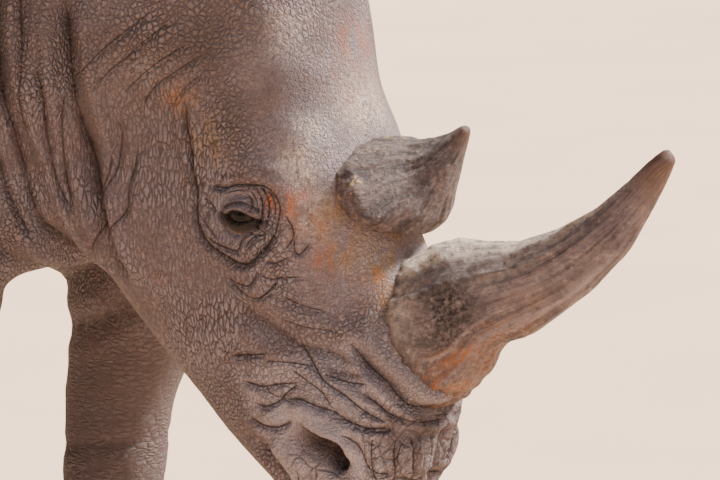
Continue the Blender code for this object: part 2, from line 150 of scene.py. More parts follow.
def mesh_of(name, points, faces):
    mesh = bpy.data.meshes.new(name)
    mesh.vertices.add(len(points))
    mesh.vertices.foreach_set("co", np.asarray(points, np.float32).ravel())
    mesh.loops.add(len(faces) * 3)
    mesh.loops.foreach_set("vertex_index", np.asarray(faces, np.int32).ravel())
    mesh.polygons.add(len(faces))
    mesh.polygons.foreach_set("loop_start", np.arange(0, len(faces) * 3, 3, dtype=np.int32))
    mesh.update(calc_edges=True)
    mesh.validate()
    mesh.shade_smooth()
    return mesh


def mesh_from(bm, name):
    """A plain mesh from an edited one, which is then let go."""
    mesh = bpy.data.meshes.new(name)
    bm.to_mesh(mesh)
    bm.free()
    return mesh


def object_of(name, data):
    """A mesh, light or camera put into the scene."""
    obj = bpy.data.objects.new(name, data)
    bpy.context.scene.collection.objects.link(obj)
    return obj


def evaluated_mesh(obj):
    bpy.context.view_layer.update()
    shown = obj.evaluated_get(bpy.context.evaluated_depsgraph_get())
    return bpy.data.meshes.new_from_object(shown)


def merged_copy(name, sources, keep=None):
    """One object from CAD nodes whose loose triangles are merged; keep drops parts of a node."""
    bm = bmesh.new()
    for source in sources:
        part = bmesh.new()
        part.from_mesh(NODES[source].data)
        bmesh.ops.remove_doubles(part, verts=part.verts, dist=1e-6)
        if keep and source in keep:
            point, normal = keep[source]
            cut = bmesh.ops.bisect_plane(part, geom=part.verts[:] + part.edges[:] + part.faces[:],
                                         plane_co=point, plane_no=normal, clear_outer=True)
            rim = [item for item in cut["geom_cut"] if isinstance(item, bmesh.types.BMEdge)]
            bmesh.ops.holes_fill(part, edges=rim)
        mesh = mesh_from(part, "part")
        bm.from_mesh(mesh)
        bpy.data.meshes.remove(mesh)
    return object_of(name, mesh_from(bm, name))


def edges_of(faces):
    pairs = np.sort(np.concatenate([faces[:, [0, 1]], faces[:, [1, 2]], faces[:, [2, 0]]]), axis=1)
    edges, owner = np.unique(pairs, axis=0, return_inverse=True)
    return edges, owner.reshape(3, -1).T


def refined(points, faces, size_at, passes=6):
    """Split triangles until no edge is much longer than the size wanted there."""
    for _ in range(passes):
        edges, owner = edges_of(faces)
        ends = points[edges]
        middle = ends.mean(axis=1)
        long = np.linalg.norm(ends[:, 0] - ends[:, 1], axis=1) > 1.4 * size_at(middle)
        if not long.any():
            break
        new_index = np.full(len(edges), -1)
        new_index[long] = len(points) + np.arange(long.sum())
        points = np.concatenate([points, middle[long]])
        halves = new_index[owner]
        count = (halves >= 0).sum(axis=1)
        parts = [faces[count == 0]]
        whole = count == 3
        a, b, c = faces[whole].T
        ab, bc, ca = halves[whole].T
        parts += [np.stack(t, 1) for t in ((a, ab, ca), (ab, b, bc), (ca, bc, c), (ab, bc, ca))]
        for turn in range(3):
            order = [(turn + i) % 3 for i in range(3)]
            f, h = faces[:, order], halves[:, order]
            one = (count == 1) & (h[:, 0] >= 0)
            a, b, c = f[one].T
            m = h[one][:, 0]
            parts += [np.stack((a, m, c), 1), np.stack((m, b, c), 1)]
            two = (count == 2) & (h[:, 0] < 0)
            a, b, c = f[two].T
            bc, ca = h[two][:, 1], h[two][:, 2]
            parts += [np.stack((a, b, bc), 1), np.stack((a, bc, ca), 1), np.stack((ca, bc, c), 1)]
        faces = np.concatenate(parts)
    return points, faces


def smoothed(points, faces, rounds, weight=1.0, factor=0.5):
    """Even out a surface, by weights of 0 to 1."""
    edges, _ = edges_of(faces)
    count = np.bincount(edges.ravel(), minlength=len(points))[:, None]
    weight = np.reshape(weight * np.ones(len(points)), (-1, 1)) * factor
    for _ in range(rounds):
        total = np.zeros_like(points)
        for axis in range(3):
            total[:, axis] = (np.bincount(edges[:, 0], points[edges[:, 1], axis], len(points))
                              + np.bincount(edges[:, 1], points[edges[:, 0], axis], len(points)))
        points = points + weight * (total / np.maximum(count, 1) - points)
    return points


def normals_of(points, faces):
    a, b, c = points[faces[:, 0]], points[faces[:, 1]], points[faces[:, 2]]
    face_normals = np.cross(b - a, c - a)
    normals = np.zeros_like(points)
    for corner in range(3):
        for axis in range(3):
            normals[:, axis] += np.bincount(faces[:, corner], face_normals[:, axis], len(points))
    return normals / np.maximum(np.linalg.norm(normals, axis=1, keepdims=True), 1e-12)


def near_surface(points, tree, reach):
    """Distance from each point to a surface, no more than reach."""
    gaps = np.full(len(points), reach)
    for index, point in enumerate(points):
        hit = tree.find_nearest(point, reach)
        if hit[0] is not None:
            gaps[index] = hit[3]
    return gaps


# ---------------------------------------------------------------- the hide's ground shape

FUSE_VOXEL = 0.020
WELD = 0.0012           # points closer than this are one, once the thin parts are joined on
HORN_SEAT = 0.150       # crown level under which the horns' roots fill their sockets
EAR_SEAT = -0.400       # level along the head under which the ears' roots fill theirs
EARS = ("ear_left", "ear_right")
THIN_PARTS = EARS + ("tail",)


def ground_shape():
    """The flesh fused into one skin with its sockets filled, and the ears and tail joined on."""
    seat = (head_point(0, HORN_SEAT), CROWN)
    keep = {"horn_front": seat, "horn_rear": seat}
    for ear in EARS:
        keep[ear] = (head_point(EAR_SEAT, 0), -ALONG)
    plugs = ("horn_front", "horn_rear", "eye_left", "eye_right") + EARS
    fused = merged_copy("fused", FLESH + plugs, keep)
    remesh = fused.modifiers.new("Fuse", "REMESH")
    remesh.mode = "VOXEL"
    remesh.voxel_size = FUSE_VOXEL
    mesh = evaluated_mesh(fused)
    bpy.data.objects.remove(fused)
    points, faces = arrays_of(mesh)
    bpy.data.meshes.remove(mesh)
    along, crown, _ = head_frame(points)
    head = smooth_step(-0.62, -0.40, along) * smooth_step(-0.5, -0.35, crown)
    limb = smooth_step(0.85, 0.65, points[:, 2]) * (1 - head)
    even = smoothed(points, faces, 3)
    even = smoothed(even, faces, 12, 1 - np.maximum(0.85 * head, 0.60 * limb))
    even = even + smoothed(points - even, faces, 8)
    body = object_of("body", mesh_of("body", even, faces))
    for name in THIN_PARTS:
        thin = merged_copy("thin", (name,))
        thin.modifiers.new("Round", "SUBSURF").levels = 2
        join = body.modifiers.new("Join", "BOOLEAN")
        join.operation = "UNION"
        join.solver = "EXACT"
        join.object = thin
    mesh = evaluated_mesh(body)
    bm = bmesh.new()
    bm.from_mesh(mesh)
    bmesh.ops.remove_doubles(bm, verts=bm.verts, dist=WELD)
    bmesh.ops.triangulate(bm, faces=bm.faces)
    bm.to_mesh(mesh)
    bm.free()
    for obj in [o for o in bpy.data.objects if o.name.split(".")[0] in ("thin", "body")]:
        bpy.data.objects.remove(obj)
    return arrays_of(mesh)


PART_TREES = {name: BVHTree.FromPolygons(*(part.tolist() for part in arrays_of(NODES[name].data)))
              for name in ("ear_left", "tail")}


def part_share(points, name):
    """1 on a thin part of the flesh, 0 away from it."""
    low, high = (np.array(corner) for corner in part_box(name))
    rows = np.where(((points > low - 0.01) & (points < high + 0.01)).all(axis=1))[0]
    share = np.zeros(len(points))
    share[rows] = smooth_step(0.022, 0.014, near_surface(points[rows], PART_TREES[name], 0.03))
    return share


def ear_share(points):
    """1 on the free part of an ear, 0 elsewhere."""
    mirrored = np.column_stack([points[:, 0], np.abs(points[:, 1]), points[:, 2]])
    return part_share(mirrored, "ear_left") * smooth_step(-0.385, -0.425, head_frame(points)[0])


# Edge lengths of the hide's mesh. Pairs hold the side that shows best, and the other side.
BODY_EDGE, LIMB_EDGE, TAIL_EDGE = 0.030, 0.018, 0.012
NECK_EDGES, HEAD_EDGES, EYE_EDGES = (0.0100, 0.0160), (0.0054, 0.0096), (0.0021, 0.0030)


def size_wanted(points):
    """The edge length that the creases need at a place."""
    along, crown, _ = head_frame(points)
    near = points[:, 1] < 0.02
    head = smooth_step(-0.50, -0.38, along) * smooth_step(-0.40, -0.32, crown)
    head = head * (1 - ear_share(points))
    neck = smooth_step(HEAD_ORIGIN[0] - 0.70, HEAD_ORIGIN[0] - 0.42, points[:, 0])
    limb = smooth_step(0.95, 0.80, points[:, 2])
    eye = smooth_step(0.075, 0.045, eye_distance(points))
    size = BODY_EDGE + (LIMB_EDGE - BODY_EDGE) * limb
    size = size + (np.where(near, *NECK_EDGES) - size) * neck
    size = size + (np.where(near, *HEAD_EDGES) - size) * head
    size = size + (TAIL_EDGE - size) * part_share(points, "tail")
    return size + (np.where(near, *EYE_EDGES) - size) * eye


# ---------------------------------------------------------------- creases and swellings

def path_through(knots, step=0.005):
    """An even, rounded path through knots given in mm."""
    knots = np.array(knots, float) / 1000
    ends = np.concatenate([[2 * knots[0] - knots[1]], knots, [2 * knots[-1] - knots[-2]]])
    path = []
    for a, b, c, d in zip(ends, ends[1:], ends[2:], ends[3:]):
        count = max(2, int(np.linalg.norm(c - b) / step))
        t = np.linspace(0, 1, count, endpoint=False)[:, None]
        path.append(b + 0.5 * t * (c - a + t * (2 * a - 5 * b + 4 * c - d + t * (3 * (b - c) + d - a))))
    return np.concatenate(path + [knots[-1:]])


def near_path(flat, knots, reach):
    """Rows of flat within reach of a path, with their signed distance and share of the way."""
    path = path_through(knots)
    low, high = path.min(axis=0) - reach, path.max(axis=0) + reach
    rows = np.where(((flat > low) & (flat < high)).all(axis=1))[0]
    spot = flat[rows]
    best = np.full(len(rows), 1e9)
    signed = np.zeros(len(rows))
    share = np.zeros(len(rows))
    for index in range(len(path) - 1):
        start, step = path[index], path[index + 1] - path[index]
        length = np.linalg.norm(step) + 1e-9
        away = spot - start
        t = np.clip(away @ step / length ** 2, 0, 1)
        gap = np.linalg.norm(away - t[:, None] * step, axis=1)
        closer = gap < best
        turn = np.where(step[0] * away[:, 1] - step[1] * away[:, 0] < 0, -1.0, 1.0)
        best[closer] = gap[closer]
        signed[closer] = (gap * turn)[closer]
        share[closer] = ((index + t) / (len(path) - 1))[closer]
    kept = best < reach
    return rows[kept], signed[kept], share[kept]


class Relief:
    """Creases and swellings gathered over the hide, the painted shade down the creases, and the crisp lines
    that the finish draws dark as painted shade.
    """

    GROUPS = 4
    DEEPEST_LINE = 0.007

    def __init__(self, count):
        self.groove = np.zeros(count)
        self.shade = np.zeros(count)
        self.swell = np.zeros(count)
        self.lines = [np.zeros((count, 3)) for _ in range(self.GROUPS)]

    def crease(self, flat, depth, width, knots, allowed=1.0, reach=0.0, taper=0.12):
        """Press a crease in, with the hide rolling up beside it; sizes in mm.

        Within reach of it, in metres, the finish draws a crisp line down its bottom, sunk into the bump and
        painted dark as shade.
        """
        depth, width = depth / 1000, width / 1000
        rows, signed, share = near_path(flat, knots, max(4.5 * width, reach))
        ends = smooth_step(0, taper, share) * smooth_step(1, 1 - taper, share)
        ends = ends * (allowed * np.ones(len(flat)))[rows]
        gap = np.abs(signed)
        self.groove[rows] = np.minimum(self.groove[rows], -depth * ends * np.exp(-gap / width))
        # Painted shade down the bottom of the crease, where shadow falls.
        dark = ends * smooth_step(0.50, 1.0, np.exp(-gap / width)) * smooth_step(0.002, 0.010, depth)
        self.shade[rows] = np.maximum(self.shade[rows], dark)
        roll = 0.55 * depth * ends * np.exp(-((gap - 2.4 * width) / (1.2 * width)) ** 2)
        self.swell[rows] = np.maximum(self.swell[rows], roll)
        inside = gap < reach
        if not inside.any():
            return
        rows, signed, ends = rows[inside], signed[inside], ends[inside]
        strong = ends * smooth_step(0.0010, 0.0060, depth) ** 0.5
        busy = [(line[rows, 1] > 0.02).sum() for line in self.lines]
        line = self.lines[int(np.argmin(busy))]
        free = line[rows, 1] < strong * smooth_step(reach, 0.5 * reach, np.abs(signed))
        rows, signed, strong = rows[free], signed[free], strong[free]
        line[rows, 0] = signed
        line[rows, 1] = strong * smooth_step(reach, 0.6 * reach, np.abs(signed))
        line[rows, 2] = min(depth, self.DEEPEST_LINE)

    def bulge(self, flat, height, width, knots, allowed=1.0):
        """Raise a soft roll of flesh along a path; sizes in mm."""
        height, width = height / 1000, width / 1000
        rows, signed, share = near_path(flat, knots, 2.5 * width)
        ends = smooth_step(0, 0.2, share) * smooth_step(1, 0.8, share)
        ends = ends * (allowed * np.ones(len(flat)))[rows]
        self.swell[rows] += height * ends * np.exp(-(signed / width) ** 2)


# Creases of the face on its map, in mm: depth, half-width, then knots (down the face, round from
# the brow line).
ORBIT = (
    (5, 4, (-60, 278), (-46, 250), (-45, 230), (-38, 208), (-26, 188), (-10, 182), (10, 182),
     (38, 193), (50, 206), (57, 220), (63, 234)),
    (9, 4, (32, 190), (50, 206), (57, 220), (63, 234), (70, 251), (68, 267), (59, 280), (44, 293),
     (28, 303), (8, 309), (-14, 308), (-50, 296), (-84, 289), (-115, 282), (-158, 274), (-196, 264)),
    (4, 2, (-34, 202), (-16, 199), (2, 203), (20, 212)),
    (3, 2, (-31, 209), (-14, 206), (4, 211)),
    (3, 2, (-26, 216), (-12, 213), (0, 217)),
    (4, 2, (-31, 194), (-11, 191), (9, 196), (30, 205)),
    (3, 2, (-24, 187), (-6, 185), (14, 189), (36, 200)),
    (3, 2, (-38, 246), (-36, 228), (-30, 212)),
    (3, 2, (26, 236), (34, 222), (38, 206)),
    (3, 2, (10, 227), (20, 219), (30, 212)),
    (4, 3, (8, 300), (24, 291), (37, 279), (48, 262), (40, 251), (27, 241)),
    (3, 2, (-40, 285), (-30, 278), (-14, 274)),
    (3, 2, (-26, 298), (0, 293), (20, 284)),
    (3, 2, (51, 245), (40, 236), (34, 219), (31, 210), (41, 209), (50, 218)),
    (4, 3, (18, 178), (40, 172), (54, 175), (66, 191)),
    (4, 3, (52, 174), (70, 178), (79, 172), (68, 153)),
    (3, 3, (72, 225), (82, 212), (78, 187)),
    (4, 3, (77, 303), (92, 285), (100, 267), (96, 254), (85, 240)),
    (5, 3, (82, 299), (110, 281), (121, 256), (114, 226), (104, 222)),
    (3, 3, (89, 239), (104, 227), (107, 213), (112, 174)),
)
VALLEYS = (
    (13, 15, (110, 310), (148, 280), (194, 235), (215, 205), (232, 175), (259, 132)),
    (10, 15, (252, 190), (266, 160), (276, 130)),
)
CHEEK = (
    (5, 4, (190, 350), (193, 330), (198, 307), (202, 283)),
    (5, 4, (228, 356), (246, 320), (249, 304), (256, 243)),
    (4, 3, (212, 292), (216, 278), (230, 231), (240, 208)),
    (5, 3, (233, 253), (254, 226), (272, 209), (294, 202), (310, 198)),
    (6, 4, (190, 225), (206, 217), (227, 210), (265, 194), (304, 162), (339, 133), (359, 117)),
    (7, 4, (268, 292), (275, 275), (283, 247), (301, 221), (313, 197), (330, 178), (349, 151),
     (362, 120), (376, 109)),
    (4, 3, (254, 194), (277, 159), (290, 130)),
    (6, 4, (292, 150), (321, 124), (339, 112), (355, 84), (365, 42), (366, 12)),
    (5, 4, (262, 345), (274, 330), (275, 300), (267, 278), (256, 243)),
    (5, 4, (281, 369), (300, 353), (309, 315), (306, 280)),
    (3, 3, (236, 322), (262, 300), (286, 262)),
    (3, 3, (160, 240), (180, 205), (196, 168), (210, 140)),
    (3, 3, (128, 225), (150, 195), (170, 160)),
)
MUZZLE = (
    (15, 8, (215, 140), (243, 127), (283, 108), (318, 87), (340, 66), (351, 42), (353, 20), (353, -20)),
    (8, 5, (312, 268), (326, 262), (346, 240), (361, 214), (372, 206), (392, 208)),
    (6, 4, (345, 200), (352, 189), (367, 174), (384, 169), (402, 169), (417, 158), (424, 128)),
    (5, 4, (362, 146), (390, 158), (412, 164), (436, 160)),
    (5, 4, (378, 108), (398, 116), (424, 120), (446, 116)),
    (5, 4, (378, 76), (400, 80), (430, 78), (452, 74)),
    (5, 4, (374, 38), (400, 34), (430, 38), (456, 36)),
    (4, 4, (372, 5), (400, -2), (440, 2)),
    (5, 4, (424, 190), (434, 150), (432, 110), (440, 70), (436, 30), (440, -10)),
    (5, 4, (400, 262), (430, 250), (452, 226), (470, 200)),
    (4, 4, (372, 300), (392, 312), (402, 330)),
)
TEMPLE = (
    (5, 4, (-144, 348), (-100, 368), (-56, 386), (-29, 426)),
    (5, 4, (-150, 372), (-104, 392), (-60, 408), (-20, 445)),
    (4, 4, (-190, 352), (-150, 366), (-112, 384), (-80, 400)),
    (4, 4, (-218, 330), (-236, 300), (-250, 262), (-262, 225)),
    (4, 4, (-196, 318), (-214, 290), (-228, 255), (-240, 220)),
    (4, 4, (-240, 345), (-262, 310), (-282, 272), (-298, 235)),
    (3, 3, (-176, 300), (-190, 275), (-204, 250), (-212, 225)),
    (4, 4, (-262, 350), (-286, 318), (-306, 285), (-322, 250)),
)
NOSTRIL_ROLL = ((292, 292), (300, 250), (318, 240), (338, 222), (352, 200), (372, 188), (398, 190))
SWELLINGS = (
    (9, 22, (-70, 236), (-62, 205), (-40, 176), (0, 162), (36, 164)),           # brow ridge
    (6, 14, (-20, 280), (10, 287), (34, 272), (46, 246), (38, 224)),            # bag under the eye
    (4, 10, (86, 262), (98, 246), (92, 222)),
    (9, 24, (180, 122), (225, 100), (270, 82), (308, 60), (330, 34), (336, 0)), # foot of the horn
    (12, 16, *NOSTRIL_ROLL),
    (6, 18, (236, 232), (262, 216), (290, 180), (318, 150), (345, 124)),
    (6, 20, (210, 330), (222, 300), (232, 270)),
    (13, 40, (372, 60), (410, 52), (450, 40), (480, 30)),
    (9, 16, (286, 340), (292, 318), (292, 300)),
    (12, 22, (318, 336), (350, 314), (385, 282)),                               # upper lip
)
# Folds of the neck and body seen from the side, in mm: depth, half-width, then knots (x, z).
NECK_FOLDS = (
    (30, 11, (706, 1290), (704, 1200), (701, 1120), (700, 1040), (706, 975), (714, 930), (724, 880),
     (740, 830)),
    (40, 13, (598, 1330), (600, 1200), (605, 1110), (613, 1040), (622, 960), (632, 905), (650, 850),
     (668, 815)),
    (28, 11, (560, 1180), (580, 1070), (590, 1000), (602, 940), (615, 890)),
    (14, 6, (660, 1180), (662, 1130), (654, 1060), (655, 995), (672, 935)),
    (12, 6, (694, 1140), (676, 1073), (666, 1011), (672, 955)),
    (12, 7, (640, 1330), (645, 1250), (642, 1180), (632, 1120), (630, 1060)),
    (32, 15, (505, 1400), (512, 1250), (528, 1100), (545, 1000), (570, 900), (596, 820)),
    (16, 9, (470, 1300), (478, 1150), (496, 1020), (520, 930)),
    (26, 17, (402, 1450), (420, 1300), (440, 1150), (462, 1000), (500, 860), (530, 800)),
)
FOLDS = (
    (24, 20, (130, 1240), (160, 1100), (188, 980), (205, 880), (200, 790), (180, 720)),
    (12, 14, (215, 820), (290, 770), (380, 760), (470, 790), (560, 850)),
    (10, 12, (235, 720), (310, 690), (400, 690), (490, 715), (550, 760)),
    (28, 22, (-760, 1280), (-800, 1150), (-850, 1020), (-905, 900), (-925, 800), (-905, 700)),
    (14, 14, (-690, 1010), (-740, 920), (-800, 850), (-880, 800)),
    (16, 18, (-1470, 1260), (-1440, 1120), (-1400, 1000), (-1370, 880), (-1385, 780)),
    (12, 14, (-1400, 760), (-1300, 720), (-1180, 700), (-1060, 720), (-960, 770)),
    (9, 14, (-400, 760), (-200, 700), (0, 690), (120, 720)),
    (7, 8, (270, 520), (360, 500), (450, 505), (560, 530)),
    (6, 8, (270, 440), (370, 425), (460, 430), (560, 450)),
    (7, 8, (-1340, 560), (-1220, 520), (-1100, 530), (-1000, 560)),
    (6, 8, (-1330, 470), (-1220, 440), (-1100, 445), (-1000, 470)),
    (6, 8, (240, 180), (360, 165), (460, 165), (580, 180)),
    (6, 8, (-1330, 180), (-1200, 165), (-1100, 165), (-980, 180)),
)
NOSTRIL = (42, 15, (312, 284), (330, 272), (350, 254), (368, 234), (384, 222), (402, 218))
MOUTH_CORNER, MOUTH_FRONT = (0.325, -0.110), (0.500, -0.060)     # along and crown, in metres
MOUTH_DEPTH, MOUTH_WIDTH = 0.016, 0.006
LIP_ROLL = 0.006
HORN_COLLAR = 0.005     # how far the skin rises round the foot of a horn


def wander(points, scale, seed):
    """A slow smooth wander of about -1 to 1."""
    turn = seed * 1.7
    x, y, z = (points * scale).T
    return (np.sin(x + 1.3 * y + turn) + np.sin(1.7 * z - 0.6 * x + 2.1 * turn)
            + np.sin(1.1 * y + 0.9 * z + 0.7 * x + 3.3 * turn)) / 3


def waves(points, *kinds):
    """Wanders added up, each with its height in metres, its scale and its seed."""
    return sum(height * wander(points, scale, seed) for height, scale, seed in kinds)


# ---------------------------------------------------------------- horns

FIBRE_ROUND = 0.11      # radius, in metres, of the upright drum on which the fibres are mapped
FIBRE_SHRINK = 0.09     # that drum's height for each metre of horn, which draws the fibres out
TIP_FULL = 0.0068       # how much fuller than its solid the tip is, as a share of the length


def spine_frame(points, root, tip):
    """Share of the way up a horn, the angle round its middle line, and the horn's length."""
    chord = tip - root
    length = np.linalg.norm(chord)
    across = np.cross(SIDE, chord / length)
    share = np.clip((points - root) @ chord / length ** 2, 0, 1)
    bins = np.linspace(0, 1, 25)
    middle = np.array([points[np.abs(share - b) < 0.06].mean(axis=0) for b in bins])
    away = points - np.stack([np.interp(share, bins, middle[:, axis]) for axis in range(3)], axis=1)
    return share, np.arctan2(away @ across, away @ SIDE), length


def make_horn(name, root, tip, edge, flare, spread, corner, waist):
    """A horn from its solid: rounded, matted in long bundles, with a flared, crumbled foot.

    The foot flares sideways, spreads down the face and squares off at its lower corner; above
    it the underside may draw in to a waist.
    """
    root_along = (root - HEAD_ORIGIN) @ ALONG
    rough = merged_copy(name, (name,))
    points, faces = arrays_of(rough.data)
    bpy.data.objects.remove(rough)
    points, faces = refined(points, faces, lambda p: np.where(p[:, 1] < 0.03, edge, 1.6 * edge), 9)
    even = smoothed(points, faces, 14)
    points = even + smoothed(points - even, faces, 7)
    along, crown, _ = head_frame(points)
    points[:, 1] *= 1 + flare * smooth_step(0.215, 0.135, crown)
    low = smooth_step(0.250, 0.150, crown)
    ahead = along - root_along
    points[:, 1] *= 1 + corner * low * smooth_step(-0.03, 0.04, ahead)
    shift = spread * low * smooth_step(-0.05, 0.04, ahead) + 0.014 * low * smooth_step(-0.02, -0.07, ahead)
    under = waist * smooth_step(0.0, 0.06, ahead) * np.exp(-((crown - 0.255) / 0.038) ** 2)
    points = points + (shift - under)[:, None] * ALONG
    share, angle, length = spine_frame(points, root, tip)
    normals = normals_of(points, faces)
    grain = np.stack([FIBRE_ROUND * np.cos(angle), FIBRE_ROUND * np.sin(angle),
                      FIBRE_SHRINK * length * share], axis=1)
    bundles = waves(grain, (0.0022, 150, 1), (0.0014, 380, 2))
    crumbs = waves(points, (0.0022, 95, 3), (0.0018, 230, 4))
    lift = bundles * smooth_step(1.0, 0.7, share) + crumbs * smooth_step(0.45, 0.05, share)
    lift = lift + TIP_FULL * length * smooth_step(0.80, 0.97, share)
    return points + normals * lift[:, None], faces, grain, share, normals


FRONT = make_horn("horn_front", head_point(0.225, 0.110), head_point(0.105, 0.612), edge=0.0055,
                  flare=0.06, spread=0.002, corner=0.05, waist=0.018)
REAR = make_horn("horn_rear", head_point(0.000, 0.120), head_point(-0.012, 0.308), edge=0.0045,
                 flare=0.17, spread=0.032, corner=0.34, waist=0.0)


# ---------------------------------------------------------------- the folded hide

def folded(points, faces):
    """Fold the hide: face creases, neck and body folds, nostrils and the line of the mouth."""
    normals = normals_of(points, faces)
    along, crown, _ = head_frame(points)
    relief = Relief(len(points))
    ears = ear_share(points)
    face = head_share(along, crown) * (1 - ears)
    flat = face_map(points)
    flat = flat + 0.0022 * np.stack([wander(points, 55, 1), wander(points, 60, 2)], axis=1)
    for depth, width, *knots in ORBIT + CHEEK + MUZZLE:
        relief.crease(flat, 1.35 * depth, width, knots, face, reach=0.010)
    temple = head_share(along, crown, -0.38, -0.30) * (1 - ears)
    for depth, width, *knots in TEMPLE:
        relief.crease(flat, depth, width, knots, temple, reach=0.010)
    for depth, width, *knots in VALLEYS:
        relief.crease(flat, depth, width, knots, face)
    for height, width, *knots in SWELLINGS:
        relief.bulge(flat, height, width, knots, face)
    nostril_depth, width, *knots = NOSTRIL
    rows, signed, share = near_path(flat, knots, 3 * width / 1000)
    ends = smooth_step(0, 0.45, share) * smooth_step(1.02, 0.9, share) * face[rows]
    nostril = np.zeros(len(points))
    nostril[rows] = ends * np.exp(-(signed * 1000 / width) ** 2)
    flank = np.abs(normals[:, 1]) ** 0.5 * (1 - ears)
    fore = smooth_step(0.790, 0.740, points[:, 0])
    side_view = points[:, [0, 2]] + 0.007 * np.stack([wander(points, 9, 3), wander(points, 8, 4)], axis=1)
    for depth, width, *knots in NECK_FOLDS:
        relief.crease(side_view, depth, width, knots, flank * fore, reach=0.024)
    for depth, width, *knots in FOLDS:
        relief.crease(side_view, depth, width, knots, flank * fore)
    (corner_along, corner_crown), (front_along, front_crown) = MOUTH_CORNER, MOUTH_FRONT
    share = (along - corner_along) / (front_along - corner_along)
    level = corner_crown + (front_crown - corner_crown) * share + 0.004 * wander(points, 40, 5)
    gap = crown - level
    mouth = smooth_step(-0.12, 0.10, share) * face
    parting = -MOUTH_DEPTH * mouth * np.exp(-np.abs(gap) / MOUTH_WIDTH)
    relief.groove = np.minimum(relief.groove, parting)
    relief.swell += LIP_ROLL * mouth * np.exp(-((np.abs(gap) - 0.022) / 0.014) ** 2)
    neck = smooth_step(0.30, 0.42, points[:, 0]) * fore * smooth_step(0.74, 0.84, points[:, 2]) * flank
    phase = points[:, 0] * 140 + 5 * wander(points, 7, 8) + 1.6 * wander(points, 21, 9)
    ribs = 0.0045 * neck * (np.abs(np.sin(phase)) ** 0.6 - 0.7) * (0.6 + 0.4 * wander(points, 9, 11))
    horns = BVHTree.FromPolygons(FRONT[0].tolist(), FRONT[1].tolist())
    beside = np.where((face > 0.5) & (crown > 0.0))[0]
    horn_gap = np.full(len(points), 0.06)
    horn_gap[beside] = near_surface(points[beside], horns, 0.06)
    collar = HORN_COLLAR * smooth_step(0.055, 0.0, horn_gap) * face
    calm = 1 - smooth_step(0.6, 0.95, np.maximum(ears, part_share(points, "tail")))
    uneven = waves(points, (0.0035, 11, 6), (0.0020, 27, 7))
    lift = (relief.groove + relief.swell + uneven + ribs + collar) * calm - nostril_depth / 1000 * nostril
    # The nostrils' hollows and the lips' parting, which the finish paints dark as shade.
    relief.nostril = nostril
    relief.mouth = mouth * np.exp(-(gap / 0.007) ** 2)
    return points + normals * lift[:, None], relief


# ---------------------------------------------------------------- eyelids

SLIT_TURN = math.radians(64)        # the slit's lean from straight down the face towards the brow
SLIT_SHIFT = 0.004                  # how far its middle lies towards the front corner
SLIT_HALF = 0.021
LID_ABOVE, LID_BELOW = 0.0078, 0.0086
LID_THICK = 0.0045
# The rolled edge of a lid and the fold behind it: distance from the slit, half-width, and height
# above and below the eye.
ROLL_AT, ROLL_WIDTH, ROLL_HEIGHTS = 0.0066, 0.0044, (0.0038, 0.0020)
FOLD_AT, FOLD_WIDTH, FOLD_DEPTHS = 0.0132, 0.0018, (0.0036, 0.0012)
SLIT_UP = CROWN * math.cos(SLIT_TURN) - ALONG * math.sin(SLIT_TURN)     # up across the slit
SNAP = 0.0011           # points this close to the slit's edge are drawn onto it
SKIN_SUNK, SKIN_CLEAR = 0.0045, 0.0012          # under the ball within the slit, and over it
# The lids' dark rims: a narrow dark edge above the eye, and below it a wide band of painted shade under the
# lower lid.
LID_DARK_EDGE_AND_SHADE = (0.0020, 0.0185)                   # the lids' dark edge, above and below the eye


def slit_frame(along, crown):
    """Distances along the eye's slit, towards its front corner, and up across it."""
    return (along * math.cos(SLIT_TURN) + crown * math.sin(SLIT_TURN) - SLIT_SHIFT,
            -along * math.sin(SLIT_TURN) + crown * math.cos(SLIT_TURN))


def slit_gap(run, rise):
    """Distance outside the almond of the eye's opening, negative within it."""
    room = np.clip(1 - (run / SLIT_HALF) ** 2, 0, None)
    edge = np.where(rise > 0, LID_ABOVE * room, LID_BELOW * room)
    beyond = np.clip(np.abs(run) - SLIT_HALF, 0, None)
    return np.where(room > 0, np.abs(rise) - edge, np.hypot(rise, beyond))


